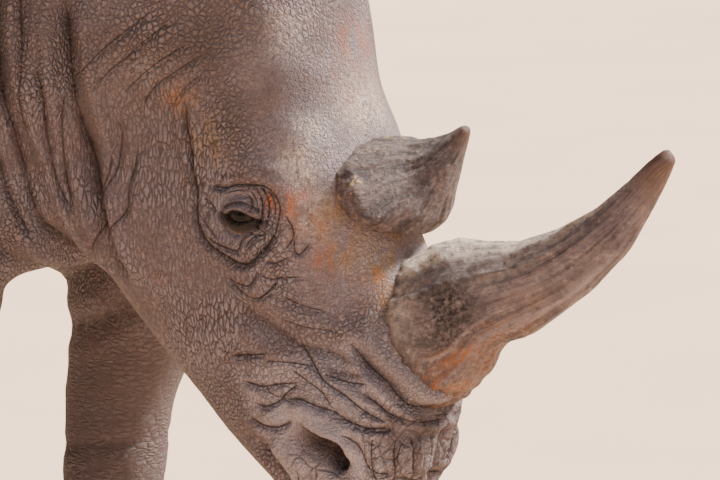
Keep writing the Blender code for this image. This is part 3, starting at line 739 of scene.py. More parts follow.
def lidded(points):
    """Draw the skin over each eyeball, open it along an almond and roll the lids' edges."""
    along, crown, side = head_frame(points)
    out = np.abs(side) - EYE_OUT
    radius = np.sqrt(along ** 2 + crown ** 2)
    run, rise = slit_frame(along, crown)
    gap = slit_gap(run, rise)
    close = (radius < 0.060) & (out > -0.02)
    snap = close & (np.abs(gap) < SNAP) & (np.abs(run) < 0.9 * SLIT_HALF)
    move = -np.where(snap, gap * np.sign(rise), 0)
    along = along - move * math.sin(SLIT_TURN)
    crown = crown + move * math.cos(SLIT_TURN)
    ball = np.sqrt(np.clip(EYE_RADIUS ** 2 - along ** 2 - crown ** 2, 0, None))
    roll = np.exp(-((gap - ROLL_AT) / ROLL_WIDTH) ** 2) * np.where(rise > 0, *ROLL_HEIGHTS)
    fold = np.exp(-((gap - FOLD_AT) / FOLD_WIDTH) ** 2) * np.where(rise > 0, *FOLD_DEPTHS)
    lid = ball + LID_THICK * smooth_step(-0.0015, 0.0040, gap) + roll - fold
    lid = np.where(gap < -SNAP, ball - SKIN_SUNK, np.maximum(lid, ball + SKIN_CLEAR))
    blend = smooth_step(0.036, 0.022, radius)
    target = np.maximum(lid, out * (1 - blend) + np.minimum(out, lid) * blend)
    target = np.where(gap < 0.004, lid, target)
    moved = points + move[:, None] * SLIT_UP
    moved[close, 1] = (np.sign(side) * (EYE_OUT + target))[close]
    # Painted shade under the lower lid and along the lid fold, a thin dark edge above the eye, and a dark
    # tear line from the front corner.
    rim = np.exp(-(np.clip(gap, 0, None) / np.where(rise > 0, *LID_DARK_EDGE_AND_SHADE)) ** 5)
    rim = np.maximum(rim, 0.85 * np.exp(-((gap - FOLD_AT) / 0.0014) ** 2) * (rise > -0.002))
    tear = np.exp(-((rise + 0.30 * (run - SLIT_HALF)) / 0.0016) ** 2)
    rim = np.maximum(rim, tear * smooth_step(0.019, 0.022, run) * smooth_step(0.042, 0.030, run))
    rim = np.where(close, rim, 0)
    return moved, rim, np.where(close, gap, 1.0)


# ---------------------------------------------------------------- the finished hide

# Stains, paler dust with painted sunlight, and darker spots that are mostly painted shadow, on the face map,
# in mm: centre, reach and strength.
RED_MUD = (((-2, 188), 28, 1.3), ((4, 160), 34, 1.2), ((-190, 272), 40, 0.45), ((95, 140), 50, 0.45),
           ((150, 80), 45, 0.45), ((50, 150), 40, 0.5), ((-200, 25), 70, 0.55), ((300, 45), 34, 0.9),
           ((318, 15), 40, 1.0), ((262, 62), 30, 0.5))
OCHRE_MUD = (((-285, 275), 90, 0.8), ((-120, 245), 60, 0.6), ((130, 62), 60, 0.9), ((95, 95), 60, 0.7),
             ((-120, 30), 60, 0.5), ((90, 30), 40, 0.6), ((45, 115), 50, 0.6), ((180, 70), 50, 0.6),
             ((-185, 270), 40, 0.6))
# Darker spots: painted shadow on the brow, the forehead and the temples, and darker spots at the end of the
# muzzle.
DARK_AND_SHADOW_SPOTS = (((-259, 214), 120, 0.75), ((-150, 190), 90, 0.55), ((-150, 110), 80, 0.60), ((-210, 70), 60, 0.55),
        ((389, 50), 70, 0.85), ((372, 105), 50, 0.50), ((400, 0), 60, 0.60), ((-225, 320), 110, 0.35),
        ((-290, 300), 90, 0.50))
# Spots of paler dust, brighter still where the top of the head is lit, as painted sunlight.
PALE_DUST_AND_SUNLIT_SPOTS = (((-55, 140), 34, 1.0), ((-30, 138), 30, 0.9), ((-100, 20), 70, 0.8), ((-250, 100), 60, 0.8),
            ((-90, 110), 40, 0.5), ((45, 145), 40, 0.5), ((20, 130), 30, 0.5), ((120, 80), 40, 0.35))


def stain(flat, spots, share):
    """The strongest of the spots at each point, on the share of the hide that takes them."""
    total = np.zeros(len(flat))
    for centre, reach, strength in spots:
        gap = np.linalg.norm(flat * 1000 - np.array(centre), axis=1)
        total = np.maximum(total, strength * np.exp(-(gap / (0.6 * reach)) ** 2))
    return total * share


def set_attribute(mesh, name, *columns):
    """Store up to three values for each point."""
    values = np.zeros((len(mesh.vertices), 3), np.float32)
    values[:, :len(columns)] = np.stack(columns, axis=1)
    mesh.attributes.new(name, "FLOAT_VECTOR", "POINT").data.foreach_set("vector", values.ravel())


def mark_hide(mesh, points, relief, rim, slit):
    """Store what the hide's finish reads for each point.

    lay is how far the cells are drawn out, ringed or slanted; stain is red mud, ochre mud, and paler
    dust made brighter as painted sunlight; tint is darker skin with painted shade, and paler skin with
    painted cool light; depth is painted shade, the lids' dark rims with painted shade under the lower
    lid, and calm skin. Each crease_N is the distance from a crease, how strong it is there, and its depth.
    """
    along, crown, _ = head_frame(points)
    flat = face_map(points)
    down, around = flat.T * 1000
    ears = ear_share(points)
    head = head_share(along, crown)
    for index, line in enumerate(relief.lines):
        set_attribute(mesh, "crease_%d" % index, *line.T)

    mud = head * (1 - ears)
    set_attribute(mesh, "stain", stain(flat, RED_MUD, mud), stain(flat, OCHRE_MUD, mud),
                  stain(flat, PALE_DUST_AND_SUNLIT_SPOTS, mud))

    # The flange is the smooth skin under the front horn's foot, down to its lower edge, the shelf.
    shelf = 127 - 0.0058 * (down - 243) ** 2
    flange = smooth_step(shelf + 8, shelf - 14, around) * smooth_step(170, 225, down) * head
    flange = flange * smooth_step(362, 348, down)
    rows, signed, _ = near_path(flat, NOSTRIL_ROLL, 0.030)
    roll = np.zeros(len(points))
    roll[rows] = smooth_step(0.026, 0.012, np.abs(signed)) * head[rows]
    cheek = smooth_step(200, 290, around) * smooth_step(240, 120, down) * head
    limb = smooth_step(0.80, 0.62, points[:, 2]) * (1 - head)
    lower = smooth_step(285, 345, down) * smooth_step(350, 270, around) * head * (1 - relief.nostril) ** 2
    set_attribute(mesh, "lay", cheek, limb, lower * (1 - flange) * (1 - 0.9 * roll))

    neck = smooth_step(0.78, 0.70, points[:, 0]) * smooth_step(0.30, 0.50, points[:, 0]) * (1 - head)
    # Darker skin and painted shade: painted shade on the legs, which stand in shadow, under the front horn's
    # foot and at the spots of painted shadow, and a little darker on the neck.
    dark_skin_and_shade = np.maximum.reduce([0.80 * limb, 0.26 * neck, stain(flat, DARK_AND_SHADOW_SPOTS, 1 - ears), 0.28 * flange])
    # The muzzle and the nostril's roll are made paler and cooler, partly as the skin's own tone and partly
    # as painted light.
    muzzle = smooth_step(195, 240, down) * smooth_step(380, 340, around) * head
    pale_skin_and_light = np.maximum(0.75 * muzzle, roll) * (1 - relief.nostril)
    pale_skin_and_light = pale_skin_and_light * (1 - 0.9 * smooth_step(330, 362, down) * smooth_step(160, 115, around))
    set_attribute(mesh, "tint", dark_skin_and_shade, pale_skin_and_light)

    # Painted shade in the creases, the nostrils' hollows, the lips' parting and round the eyes, strongest
    # under the lower lid, which the brow shades.
    below = slit_frame(along, crown)[1] < 0
    lid_shade = np.exp(-(np.clip(slit, 0, None) / np.where(below, 0.019, 0.010)) ** 2)
    painted_cavity_shade = np.maximum.reduce([0.8 * relief.shade, relief.nostril ** 0.55, 0.8 * relief.mouth,
                                np.where(below, 0.95, 0.62) * lid_shade])
    brow = smooth_step(215, 160, around) * smooth_step(215, 150, down) * head
    lids = smooth_step(0.060, 0.030, eye_distance(points))
    calm = np.maximum.reduce([0.85 * brow, 0.80 * lids, 0.6 * ears, 0.5 * flange, 0.45 * limb,
                              0.45 * muzzle, 0.85 * roll])
    set_attribute(mesh, "depth", painted_cavity_shade, rim, calm)


def make_hide():
    """The whole hide, and each point's distance from the eye's slit."""
    points, faces = ground_shape()
    points, faces = refined(points, faces, size_wanted)
    thin = np.maximum(ear_share(points), part_share(points, "tail"))
    points = smoothed(points, faces, 3, 1 - 0.7 * thin)
    points, relief = folded(points, faces)
    points = smoothed(points, faces, 1, 0.6)
    points[:, 2] = np.maximum(points[:, 2], 0.0)
    points, rim, slit = lidded(points)
    mesh = mesh_of("hide", points, faces)
    mark_hide(mesh, points, relief, rim, slit)
    return mesh, points, faces, slit


# ---------------------------------------------------------------- finishes

def linear(colour):
    """A linear colour from an sRGB hex value."""
    parts = [int(colour[i:i + 2], 16) / 255 for i in (0, 2, 4)]
    return [p / 12.92 if p <= 0.04045 else ((p + 0.055) / 1.055) ** 2.4 for p in parts] + [1.0]


def add(tree, kind, inputs, out=0, **settings):
    """Add a node, fill its inputs with values or links, and give back one of its outputs."""
    node = tree.nodes.new(kind)
    for name, value in settings.items():
        setattr(node, name, value)
    for socket, value in inputs.items():
        if isinstance(value, bpy.types.NodeSocket):
            tree.links.new(value, node.inputs[socket])
        else:
            node.inputs[socket].default_value = value
    return node.outputs[out] if node.outputs else node


def blank_material(name):
    material = bpy.data.materials.new(name)
    material.use_nodes = True
    material.node_tree.nodes.clear()
    return material, material.node_tree


MATH, MIX, NOISE, VORONOI, RANGE = ("ShaderNodeMath", "ShaderNodeMix", "ShaderNodeTexNoise",
                                    "ShaderNodeTexVoronoi", "ShaderNodeMapRange")


def finish_surface(tree, colour, roughness, height, **numbers):
    """Close a material with its colour, roughness and relief in metres."""
    normal = add(tree, "ShaderNodeBump", {"Strength": 1.0, "Distance": 1.0, "Height": height})
    inputs = {"Base Color": colour, "Roughness": roughness, "Normal": normal}
    inputs.update({name.replace("_", " "): value for name, value in numbers.items()})
    shader = add(tree, "ShaderNodeBsdfPrincipled", inputs)
    add(tree, "ShaderNodeOutputMaterial", {"Surface": shader})


def painted_over(tree, colour, layers):
    """Lay dust, mud, wear, painted light and painted shade over a colour, one layer after another.

    A layer has its share of the surface, the pattern that breaks it up, the pattern's values
    where there is none of it and where there is most, how much that is, and its sRGB colour.
    """
    for share, pattern, none, full, most, paint in layers:
        ragged = add(tree, RANGE, {"Value": pattern, 1: none, 2: full, 3: 0.0, 4: most})
        ragged = add(tree, MATH, {0: ragged, 1: share}, operation="MULTIPLY")
        colour = add(tree, MIX, {0: ragged, 6: colour, 7: linear(paint)}, out=2, data_type="RGBA")
    return colour


def weathered_hide():
    """Thick dry skin, tiled by cracks about 8 mm apart, dusted and stained with dried mud.

    The cracks lie in long cells down the cheeks, round the legs, and slantwise on the muzzle,
    which gives the eye the pull of the skin over the jaw and the joints.
    """
    material, tree = blank_material("weathered_rhino_hide")
    place = add(tree, "ShaderNodeTexCoord", {}, out=3)
    drift = add(tree, NOISE, {"Vector": place, "Scale": 22.0, "Detail": 2.0}, out=1)
    drift = add(tree, "ShaderNodeVectorMath", {0: drift, 1: (0.5, 0.5, 0.5)}, operation="SUBTRACT")
    drift = add(tree, "ShaderNodeVectorMath", {0: drift, "Scale": 0.016}, operation="SCALE")
    bent = add(tree, "ShaderNodeVectorMath", {0: place, 1: drift}, operation="ADD")
    stored = []
    for name in ("lay", "depth", "stain", "tint"):
        values = add(tree, "ShaderNodeAttribute", {}, out=1, attribute_name=name)
        stored += add(tree, "ShaderNodeSeparateXYZ", {0: values}).node.outputs.values()
    drawn, ringed, slant, painted_cavity_shade, rim, calm = stored[:6]
    red_mud, ochre_mud, pale_dust_and_sunlight, dark_skin_and_shade, pale_skin_and_light, _ = stored[6:]

    # Cells of 8 mm; 6 by 7 by 20 mm and upright on the cheeks; 19 by 19 by 8 mm and level on the
    # legs; 16 by 9 by 8 mm and tilted on the muzzle.
    cells = None
    layouts = ((None, 0.0, (128, 128, 112)), (drawn, 0.0, (165, 138, 50)), (ringed, 0.0, (52, 52, 130)),
               (slant, math.radians(38), (64, 110, 130)))
    for share, turn, scale in layouts:
        laid = add(tree, "ShaderNodeMapping", {"Vector": bent, "Rotation": (0, turn, 0)})
        laid = add(tree, "ShaderNodeMapping", {"Vector": laid, "Scale": scale})
        edge = add(tree, VORONOI, {"Vector": laid, "Scale": 1.0}, feature="DISTANCE_TO_EDGE")
        cells = edge if share is None else add(tree, MIX, {0: share, 2: cells, 3: edge}, data_type="FLOAT")
    pillow = add(tree, RANGE, {"Value": cells, 1: 0.0, 2: 0.34, 3: 0.0, 4: 1.0},
                 interpolation_type="SMOOTHSTEP")
    # Blocks of 26 mm, parted by deep cracks, cover the lips and the end of the muzzle.
    blocks = add(tree, VORONOI, {"Vector": bent, "Scale": 38.0}, feature="DISTANCE_TO_EDGE")
    block_gap = add(tree, RANGE, {"Value": blocks, 1: 0.0, 2: 0.13, 3: 1.0, 4: 0.0},
                    interpolation_type="SMOOTHSTEP")
    block_gap = add(tree, MATH, {0: block_gap, 1: slant}, operation="MULTIPLY")
    # Fine cells of 4 mm, grit of 2.4 mm, crumbs of dry mud of 8 mm and patches of 110 mm.
    fine_edge = add(tree, VORONOI, {"Vector": bent, "Scale": 260.0}, feature="DISTANCE_TO_EDGE")
    fine = add(tree, RANGE, {"Value": fine_edge, 1: 0.0, 2: 0.28, 3: 0.0, 4: 1.0},
               interpolation_type="SMOOTHSTEP")
    grain = add(tree, NOISE, {"Vector": place, "Scale": 420.0, "Detail": 3.0, "Roughness": 0.6})
    patchy = add(tree, NOISE, {"Vector": place, "Scale": 9.0, "Detail": 4.0, "Roughness": 0.6})
    crumbs = add(tree, NOISE, {"Vector": place, "Scale": 130.0, "Detail": 5.0, "Roughness": 0.75})

    # Each crease is a crisp line, up to 2 mm wide, sunk into the bump and painted dark as shade, in a dip
    # that is 17 mm wide.
    line = None
    dips = 0.0
    for index in range(Relief.GROUPS):
        crease = add(tree, "ShaderNodeAttribute", {}, out=1, attribute_name="crease_%d" % index)
        signed, strength, deep = add(tree, "ShaderNodeSeparateXYZ", {0: crease}).node.outputs
        gap = add(tree, MATH, {0: signed}, operation="ABSOLUTE")
        width = add(tree, MATH, {0: deep, 1: 0.13, 2: 0.0008}, operation="MULTIPLY_ADD")
        ratio = add(tree, MATH, {0: gap, 1: width}, operation="DIVIDE")
        mark = add(tree, RANGE, {"Value": ratio, 1: 0.2, 2: 1.0, 3: 1.0, 4: 0.0},
                   interpolation_type="SMOOTHSTEP")
        mark = add(tree, MATH, {0: mark, 1: strength}, operation="MULTIPLY")
        line = mark if line is None else add(tree, MATH, {0: line, 1: mark}, operation="MAXIMUM")
        dip = add(tree, RANGE, {"Value": gap, 1: 0.0, 2: 0.0085, 3: 1.0, 4: 0.0},
                  interpolation_type="SMOOTHERSTEP")
        dip = add(tree, MATH, {0: dip, 1: strength}, operation="MULTIPLY")
        dips = add(tree, MATH, {0: dip, 1: deep, 2: dips}, operation="MULTIPLY_ADD")

    # The relief: pillows of up to 4.4 mm between the cracks, flatter where the skin is calm, then
    # each pattern's height in metres. A dip is about half as deep as its crease.
    busy = add(tree, RANGE, {"Value": calm, 1: 0.0, 2: 1.0, 3: 1.0, 4: 0.15})
    uneven = add(tree, RANGE, {"Value": patchy, 1: 0.36, 2: 0.62, 3: 0.40, 4: 1.10})
    busy = add(tree, MATH, {0: busy, 1: uneven}, operation="MULTIPLY")
    tiles = add(tree, MATH, {0: pillow, 1: busy}, operation="MULTIPLY")
    deep_cells = add(tree, MATH, {0: drawn, 1: -0.0010, 2: 0.0044}, operation="MULTIPLY_ADD")
    height = add(tree, MATH, {0: tiles, 1: deep_cells}, operation="MULTIPLY")
    for pattern, tall in ((fine, 0.0007), (grain, 0.0005), (crumbs, 0.0025), (line, -0.0022),
                          (dips, -0.48), (block_gap, -0.0030)):
        height = add(tree, MATH, {0: pattern, 1: tall, 2: height}, operation="MULTIPLY_ADD")

    # Grey-brown skin with a reddish blush, worn and dirty crumbs, places made paler with dust and with
    # painted sunlight, and muddy places.
    tone = add(tree, RANGE, {"Value": patchy, 1: 0.35, 2: 0.68, 3: 0.0, 4: 1.0})
    colour = add(tree, MIX, {0: tone, 6: linear("605459"), 7: linear("8c828a")}, out=2, data_type="RGBA")
    blush = add(tree, NOISE, {"Vector": place, "Scale": 31.0, "Detail": 3.0})
    streaks = add(tree, "ShaderNodeMapping", {"Vector": bent, "Scale": (60, 60, 22)})
    streaks = add(tree, NOISE, {"Vector": streaks, "Scale": 1.0, "Detail": 5.0, "Roughness": 0.7})
    colour = painted_over(tree, colour, (
        (1.0, blush, 0.50, 0.75, 0.42, "87695f"), (1.0, crumbs, 0.52, 0.68, 0.35, "b09c94"),
        (1.0, crumbs, 0.47, 0.34, 0.42, "463630"), (pale_dust_and_sunlight, crumbs, 0.36, 0.62, 1.0, "dcc9ba"),
        (ochre_mud, streaks, 0.36, 0.60, 1.0, "93713f"), (red_mud, streaks, 0.42, 0.64, 1.0, "ad5c26")))
    # Paler skin with painted cool light on the muzzle.
    pale_skin_and_light = add(tree, MATH, {0: pale_skin_and_light, 1: 0.60}, operation="MULTIPLY")
    # Painted shade in the cracks between cells and between blocks, and in the fine cracks.
    crack_shade = add(tree, RANGE, {"Value": cells, 1: 0.02, 2: 0.15, 3: 0.85, 4: 0.0})
    crack_shade = add(tree, MATH, {0: crack_shade, 1: busy}, operation="MULTIPLY")
    block_crack_shade = add(tree, RANGE, {"Value": block_gap, 1: 0.5, 2: 1.0, 3: 0.0, 4: 0.65})
    crack_shade = add(tree, MATH, {0: crack_shade, 1: block_crack_shade}, operation="MAXIMUM")
    hair_crack_shade = add(tree, RANGE, {"Value": fine_edge, 1: 0.0, 2: 0.14, 3: 0.55, 4: 0.0})
    # Painted shade in the creases, the nostrils, the mouth and round the eyes, and along the crisp crease
    # lines.
    shade = add(tree, MATH, {0: painted_cavity_shade, 1: 0.70}, operation="MULTIPLY")
    line = add(tree, MATH, {0: line, 1: 0.80}, operation="MULTIPLY")
    shade = add(tree, MATH, {0: shade, 1: line}, operation="MAXIMUM")
    # Paler skin with painted light, darker skin with painted shade, painted shade in the cracks, creases and
    # hollows, and the lids' dark rims with painted shade under the eye.
    for share, paint in ((pale_skin_and_light, "b4a8ae"), (dark_skin_and_shade, "4b4143"), (crack_shade, "2b1d18"), (hair_crack_shade, "4f3a31"),
                         (shade, "2e1d16"), (rim, "190e0a")):
        colour = add(tree, MIX, {0: share, 6: colour, 7: linear(paint)}, out=2, data_type="RGBA")
    rough = add(tree, RANGE, {"Value": grain, 1: 0.3, 2: 0.7, 3: 0.70, 4: 0.86})
    rough = add(tree, MIX, {0: rim, 2: rough, 3: 0.62}, data_type="FLOAT")
    finish_surface(tree, colour, rough, height, Specular_IOR_Level=0.35)
    return material


def horn_fibre():
    """Horn of matted keratin fibre: a dull grey-brown mass of long streaks, worn smooth at the tip.

    Rubbed rims and the upper side are paler with wear and painted sunlight; the sides are sooty with
    old dirt, the front horn's underside is darker with painted shade, and the foot holds red mud and
    painted shade where it meets the hide.
    """
    material, tree = blank_material("matted_keratin_horn")
    place = add(tree, "ShaderNodeTexCoord", {}, out=3)
    fibre = add(tree, "ShaderNodeAttribute", {}, out=1, attribute_name="grain")
    stored = []
    for name in ("marks", "state"):
        values = add(tree, "ShaderNodeAttribute", {}, out=1, attribute_name=name)
        stored += add(tree, "ShaderNodeSeparateXYZ", {0: values}).node.outputs.values()
    soot_and_shade, mud, rubbed_and_sunlit, foot, tip, speck = stored
    # Bundles of fibre about 5 mm wide, and single hairs drawn 1.5 mm wide so that they show.
    broad = add(tree, NOISE, {"Vector": fibre, "Scale": 26.0, "Detail": 4.0, "Roughness": 0.55})
    bundle = add(tree, NOISE, {"Vector": fibre, "Scale": 95.0, "Detail": 4.0, "Roughness": 0.6})
    hairs = add(tree, NOISE, {"Vector": fibre, "Scale": 320.0, "Detail": 2.0, "Roughness": 0.6})
    patchy = add(tree, NOISE, {"Vector": place, "Scale": 24.0, "Detail": 6.0, "Roughness": 0.68})
    gritty = add(tree, NOISE, {"Vector": place, "Scale": 150.0, "Detail": 5.0, "Roughness": 0.75})
    tone = add(tree, MIX, {0: 0.5, 2: broad, 3: patchy}, data_type="FLOAT")
    tone = add(tree, RANGE, {"Value": tone, 1: 0.38, 2: 0.62, 3: 0.0, 4: 1.0})
    colour = add(tree, MIX, {0: tone, 6: linear("463b3f"), 7: linear("857679")}, out=2, data_type="RGBA")
    flecks = add(tree, NOISE, {"Vector": place, "Scale": 70.0, "Detail": 8.0, "Roughness": 0.8})
    streaks = add(tree, MIX, {0: 0.45, 2: bundle, 3: flecks}, data_type="FLOAT")
    # Painted shade where the horn meets the hide.
    seam_shade = add(tree, MATH, {0: foot, 1: 0.8}, operation="MULTIPLY")
    # Layers of tone, streaks, the worn tip, wear and painted sunlight on the upper side, old dirt and
    # painted shade, red mud and dry specks.
    colour = painted_over(tree, colour, (
        (1.0, patchy, 0.50, 0.70, 0.60, "7d5d4c"), (1.0, flecks, 0.54, 0.66, 0.65, "a8948c"),
        (1.0, flecks, 0.46, 0.32, 0.75, "33261f"), (1.0, bundle, 0.48, 0.66, 0.60, "4a362d"),
        (tip, broad, 0.20, 0.55, 1.0, "52392f"), (rubbed_and_sunlit, flecks, 0.36, 0.56, 1.0, "e6d2c0"),
        (soot_and_shade, gritty, 0.38, 0.58, 1.0, "211814"), (mud, streaks, 0.44, 0.55, 1.0, "8e4c00"),
        (speck, patchy, 0.57, 0.63, 1.0, "c9a56a")))
    colour = add(tree, MIX, {0: seam_shade, 6: colour, 7: linear("35241c")}, out=2, data_type="RGBA")
    # The relief: each pattern's height in metres, less towards the worn tip.
    height = 0.0
    for pattern, tall in ((bundle, 0.0030), (hairs, 0.0008), (gritty, 0.0016), (patchy, 0.0060),
                          (flecks, 0.0050)):
        height = add(tree, MATH, {0: pattern, 1: tall, 2: height}, operation="MULTIPLY_ADD")
    wear = add(tree, RANGE, {"Value": tip, 1: 0.0, 2: 1.0, 3: 1.0, 4: 0.35})
    height = add(tree, MATH, {0: height, 1: wear}, operation="MULTIPLY")
    rough = add(tree, RANGE, {"Value": gritty, 1: 0.3, 2: 0.7, 3: 0.50, 4: 0.72})
    finish_surface(tree, colour, rough, height, Specular_IOR_Level=0.4)
    return material


def wet_eye():
    """A living eye: a dark brown iris round a black pupil, under a wet, smooth cornea."""
    material, tree = blank_material("wet_brown_eye")
    gaze = add(tree, "ShaderNodeAttribute", {}, out=1, attribute_name="gaze")
    ring, _, _ = add(tree, "ShaderNodeSeparateXYZ", {0: gaze}).node.outputs
    fibres = add(tree, NOISE, {"Vector": gaze, "Scale": 9.0, "Detail": 4.0})
    iris = add(tree, MIX, {0: fibres, 6: linear("190c08"), 7: linear("2e150d")}, out=2, data_type="RGBA")
    inner = add(tree, RANGE, {"Value": ring, 1: 0.28, 2: 0.40, 3: 0.0, 4: 1.0})
    colour = add(tree, MIX, {0: inner, 6: linear("080504"), 7: iris}, out=2, data_type="RGBA")
    colour = painted_over(tree, colour, ((1.0, ring, 0.62, 0.80, 1.0, "24140f"),))
    height = add(tree, MATH, {0: fibres, 1: 0.0001}, operation="MULTIPLY")
    finish_surface(tree, colour, 0.10, height, Specular_IOR_Level=0.22, IOR=1.38)
    return material


def nail_keratin():
    """Toenail keratin: dense, worn and dusty, with grit in the faint growth ridges across it."""
    material, tree = blank_material("worn_toenail_keratin")
    place = add(tree, "ShaderNodeTexCoord", {}, out=3)
    layers = add(tree, "ShaderNodeMapping", {"Vector": place, "Scale": (25, 25, 220)})
    ridges = add(tree, NOISE, {"Vector": layers, "Scale": 1.0, "Detail": 4.0})
    patchy = add(tree, NOISE, {"Vector": place, "Scale": 40.0, "Detail": 5.0, "Roughness": 0.65})
    grit = add(tree, NOISE, {"Vector": place, "Scale": 300.0, "Detail": 3.0})
    colour = add(tree, MIX, {0: ridges, 6: linear("4b3f38"), 7: linear("7a695e")}, out=2, data_type="RGBA")
    colour = painted_over(tree, colour, ((1.0, patchy, 0.5, 0.7, 0.7, "8f7b6b"),))
    height = add(tree, MATH, {0: ridges, 1: 0.0016}, operation="MULTIPLY")
    height = add(tree, MATH, {0: grit, 1: 0.0004, 2: height}, operation="MULTIPLY_ADD")
    rough = add(tree, RANGE, {"Value": patchy, 1: 0.3, 2: 0.7, 3: 0.50, 4: 0.75})
    finish_surface(tree, colour, rough, height)
    return material


def bristle_hair():
    """Coarse black-brown hair, dull and dusty in patches."""
    material, tree = blank_material("coarse_dark_hair")
    place = add(tree, "ShaderNodeTexCoord", {}, out=3)
    dust = add(tree, NOISE, {"Vector": place, "Scale": 60.0, "Detail": 3.0})
    dust = add(tree, RANGE, {"Value": dust, 1: 0.4, 2: 0.7, 3: 0.0, 4: 0.8})
    colour = add(tree, MIX, {0: dust, 6: linear("1d1512"), 7: linear("4b3a30")}, out=2, data_type="RGBA")
    height = add(tree, MATH, {0: dust, 1: 0.0002}, operation="MULTIPLY")
    finish_surface(tree, colour, 0.55, height)
    return material


HIDE_FINISH = weathered_hide()
HORN_FINISH = horn_fibre()
EYE_FINISH = wet_eye()
NAIL_FINISH = nail_keratin()
HAIR_FINISH = bristle_hair()


def dress(piece, finish, slot, *nodes):
    """Give a piece its finish and the CAD nodes that it stands for, which are hidden; slot is not used."""
    piece.data.materials.clear()
    piece.data.materials.append(finish)
    if nodes:
        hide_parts(*nodes)
    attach(piece, "root")


# Marks on the horns' sides: strength, place along and crown, and reach each way, in metres.
FRONT_SOOT = ((1.3, 0.222, 0.232, 0.046, 0.038), (0.9, 0.255, 0.215, 0.030, 0.050),
              (0.6, 0.300, 0.180, 0.034, 0.060))
FRONT_MUD = ((1.0, 0.322, 0.140, 0.018, 0.050), (0.7, 0.290, 0.215, 0.014, 0.040))
FRONT_RUBBED = ((0.30, 0.190, 0.150, 0.060, 0.040), (0.28, 0.150, 0.330, 0.050, 0.070))
REAR_MUD = ((0.12, 0.020, 0.160, 0.050, 0.030),)


def marked(points, marks):
    """The strongest of the marks at each point, each falling off to its reach."""
    along, crown, _ = head_frame(points)
    total = np.zeros(len(points))
    for strength, at_along, at_crown, reach_along, reach_crown in marks:
        away = ((along - at_along) / reach_along) ** 2 + ((crown - at_crown) / reach_crown) ** 2
        total = np.maximum(total, strength * np.exp(-away))
    return np.minimum(total, 1)


def finish_horn(name, horn, hide_tree, soot_and_shade, mud, rubbed_and_sunlit, speck):
    """Dress a horn in its fibre, with painted shade where it meets the hide, and worn smooth near its tip.
    """
    points, faces, grain, share, _ = horn
    mesh = mesh_of(name + "_fibre", points, faces)
    # Near 1 where the horn meets the hide, which the finish paints dark as shade.
    foot = np.exp(-near_surface(points, hide_tree, 0.05) / 0.004)
    set_attribute(mesh, "grain", *grain.T)
    set_attribute(mesh, "marks", soot_and_shade, mud, rubbed_and_sunlit)
    set_attribute(mesh, "state", foot, smooth_step(0.80, 0.97, share), speck)
    dress(object_of(name + "_fibre", mesh), HORN_FINISH, "horn", name)


def finish_front_horn(hide_tree):
    """Soot low on the sides, painted shade on the underside, red mud under the foot, and an upper side made
    paler by wear and painted sunlight.
    """
    points, _, _, _, normals = FRONT
    _, crown, _ = head_frame(points)
    under = smooth_step(0.45, 0.95, normals @ ALONG)
    over = smooth_step(0.50, 0.95, -(normals @ ALONG))
    # Soot from the listed marks, painted shade on the underside, and a faint band of dirt low on the upper
    # side.
    soot_and_shade = np.maximum(marked(points, FRONT_SOOT), 0.80 * under * smooth_step(0.40, 0.28, crown))
    soot_and_shade = np.maximum(soot_and_shade, 0.12 * over * smooth_step(0.34, 0.26, crown) * smooth_step(0.16, 0.24, crown))
    mud = np.maximum(marked(points, FRONT_MUD), 0.40 * under * smooth_step(0.40, 0.26, crown))
    # The upper side is paler, with wear and painted sunlight.
    rubbed_and_sunlit = 1.3 * over * (0.42 + 0.58 * smooth_step(0.28, 0.16, crown)) * smooth_step(0.60, 0.50, crown)
    rubbed_and_sunlit = np.maximum(rubbed_and_sunlit, marked(points, FRONT_RUBBED))
    finish_horn("horn_front", FRONT, hide_tree, soot_and_shade, mud, rubbed_and_sunlit, 0.3 * smooth_step(0.2, 0.1, crown))


def finish_rear_horn(hide_tree):
    """Soot on the front side and low down, hardly any mud, specks of dry dust round the foot, and an upper
    side a little paler with wear and painted sunlight.
    """
    points, _, _, _, normals = REAR
    along, crown, _ = head_frame(points)
    over = smooth_step(0.35, 0.90, -(normals @ ALONG))
    soot_and_shade = np.maximum(0.55 * smooth_step(0.045, 0.075, along), 0.62 * smooth_step(0.34, 0.26, crown))
    # A slightly paler upper side, with wear and painted sunlight.
    finish_horn("horn_rear", REAR, hide_tree, soot_and_shade, marked(points, REAR_MUD), 0.10 * over,
                1.2 * smooth_step(0.22, 0.15, crown))


# ---------------------------------------------------------------- eyes and nails

GAZE = (0.22, 0.97, -0.06)              # the way the left eye looks; the right one mirrors it
DOME_HEIGHT, DOME_WIDTH = 0.0009, 0.42  # the cornea's rise, and its spread in radians
BALL_INSET = 0.0010                     # how far the ball is smaller than its solid


def make_eye(name):
    """A smooth ball with the cornea's slight dome, its iris set forwards in the slit."""
    low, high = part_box(name)
    centre = np.array((low + high) / 2)
    bm = bmesh.new()
    bmesh.ops.create_icosphere(bm, subdivisions=5, radius=1.0)
    points, faces = arrays_of(mesh_from(bm, name + "_ball"))
    gaze = np.array(GAZE) * (1, np.sign(centre[1]), 1)
    ring = np.arccos(np.clip(points @ gaze / np.linalg.norm(gaze), -1, 1))
    dome = DOME_HEIGHT * np.exp(-(ring / DOME_WIDTH) ** 4)
    placed = centre + points * (EYE_RADIUS - BALL_INSET + dome)[:, None]
    mesh = mesh_of(name + "_ball", placed, faces)
    set_attribute(mesh, "gaze", ring, points @ ALONG * 2, points @ CROWN * 2)
    dress(object_of(name + "_ball", mesh), EYE_FINISH, "eye", name)


# ---------------------------------------------------------------- hair

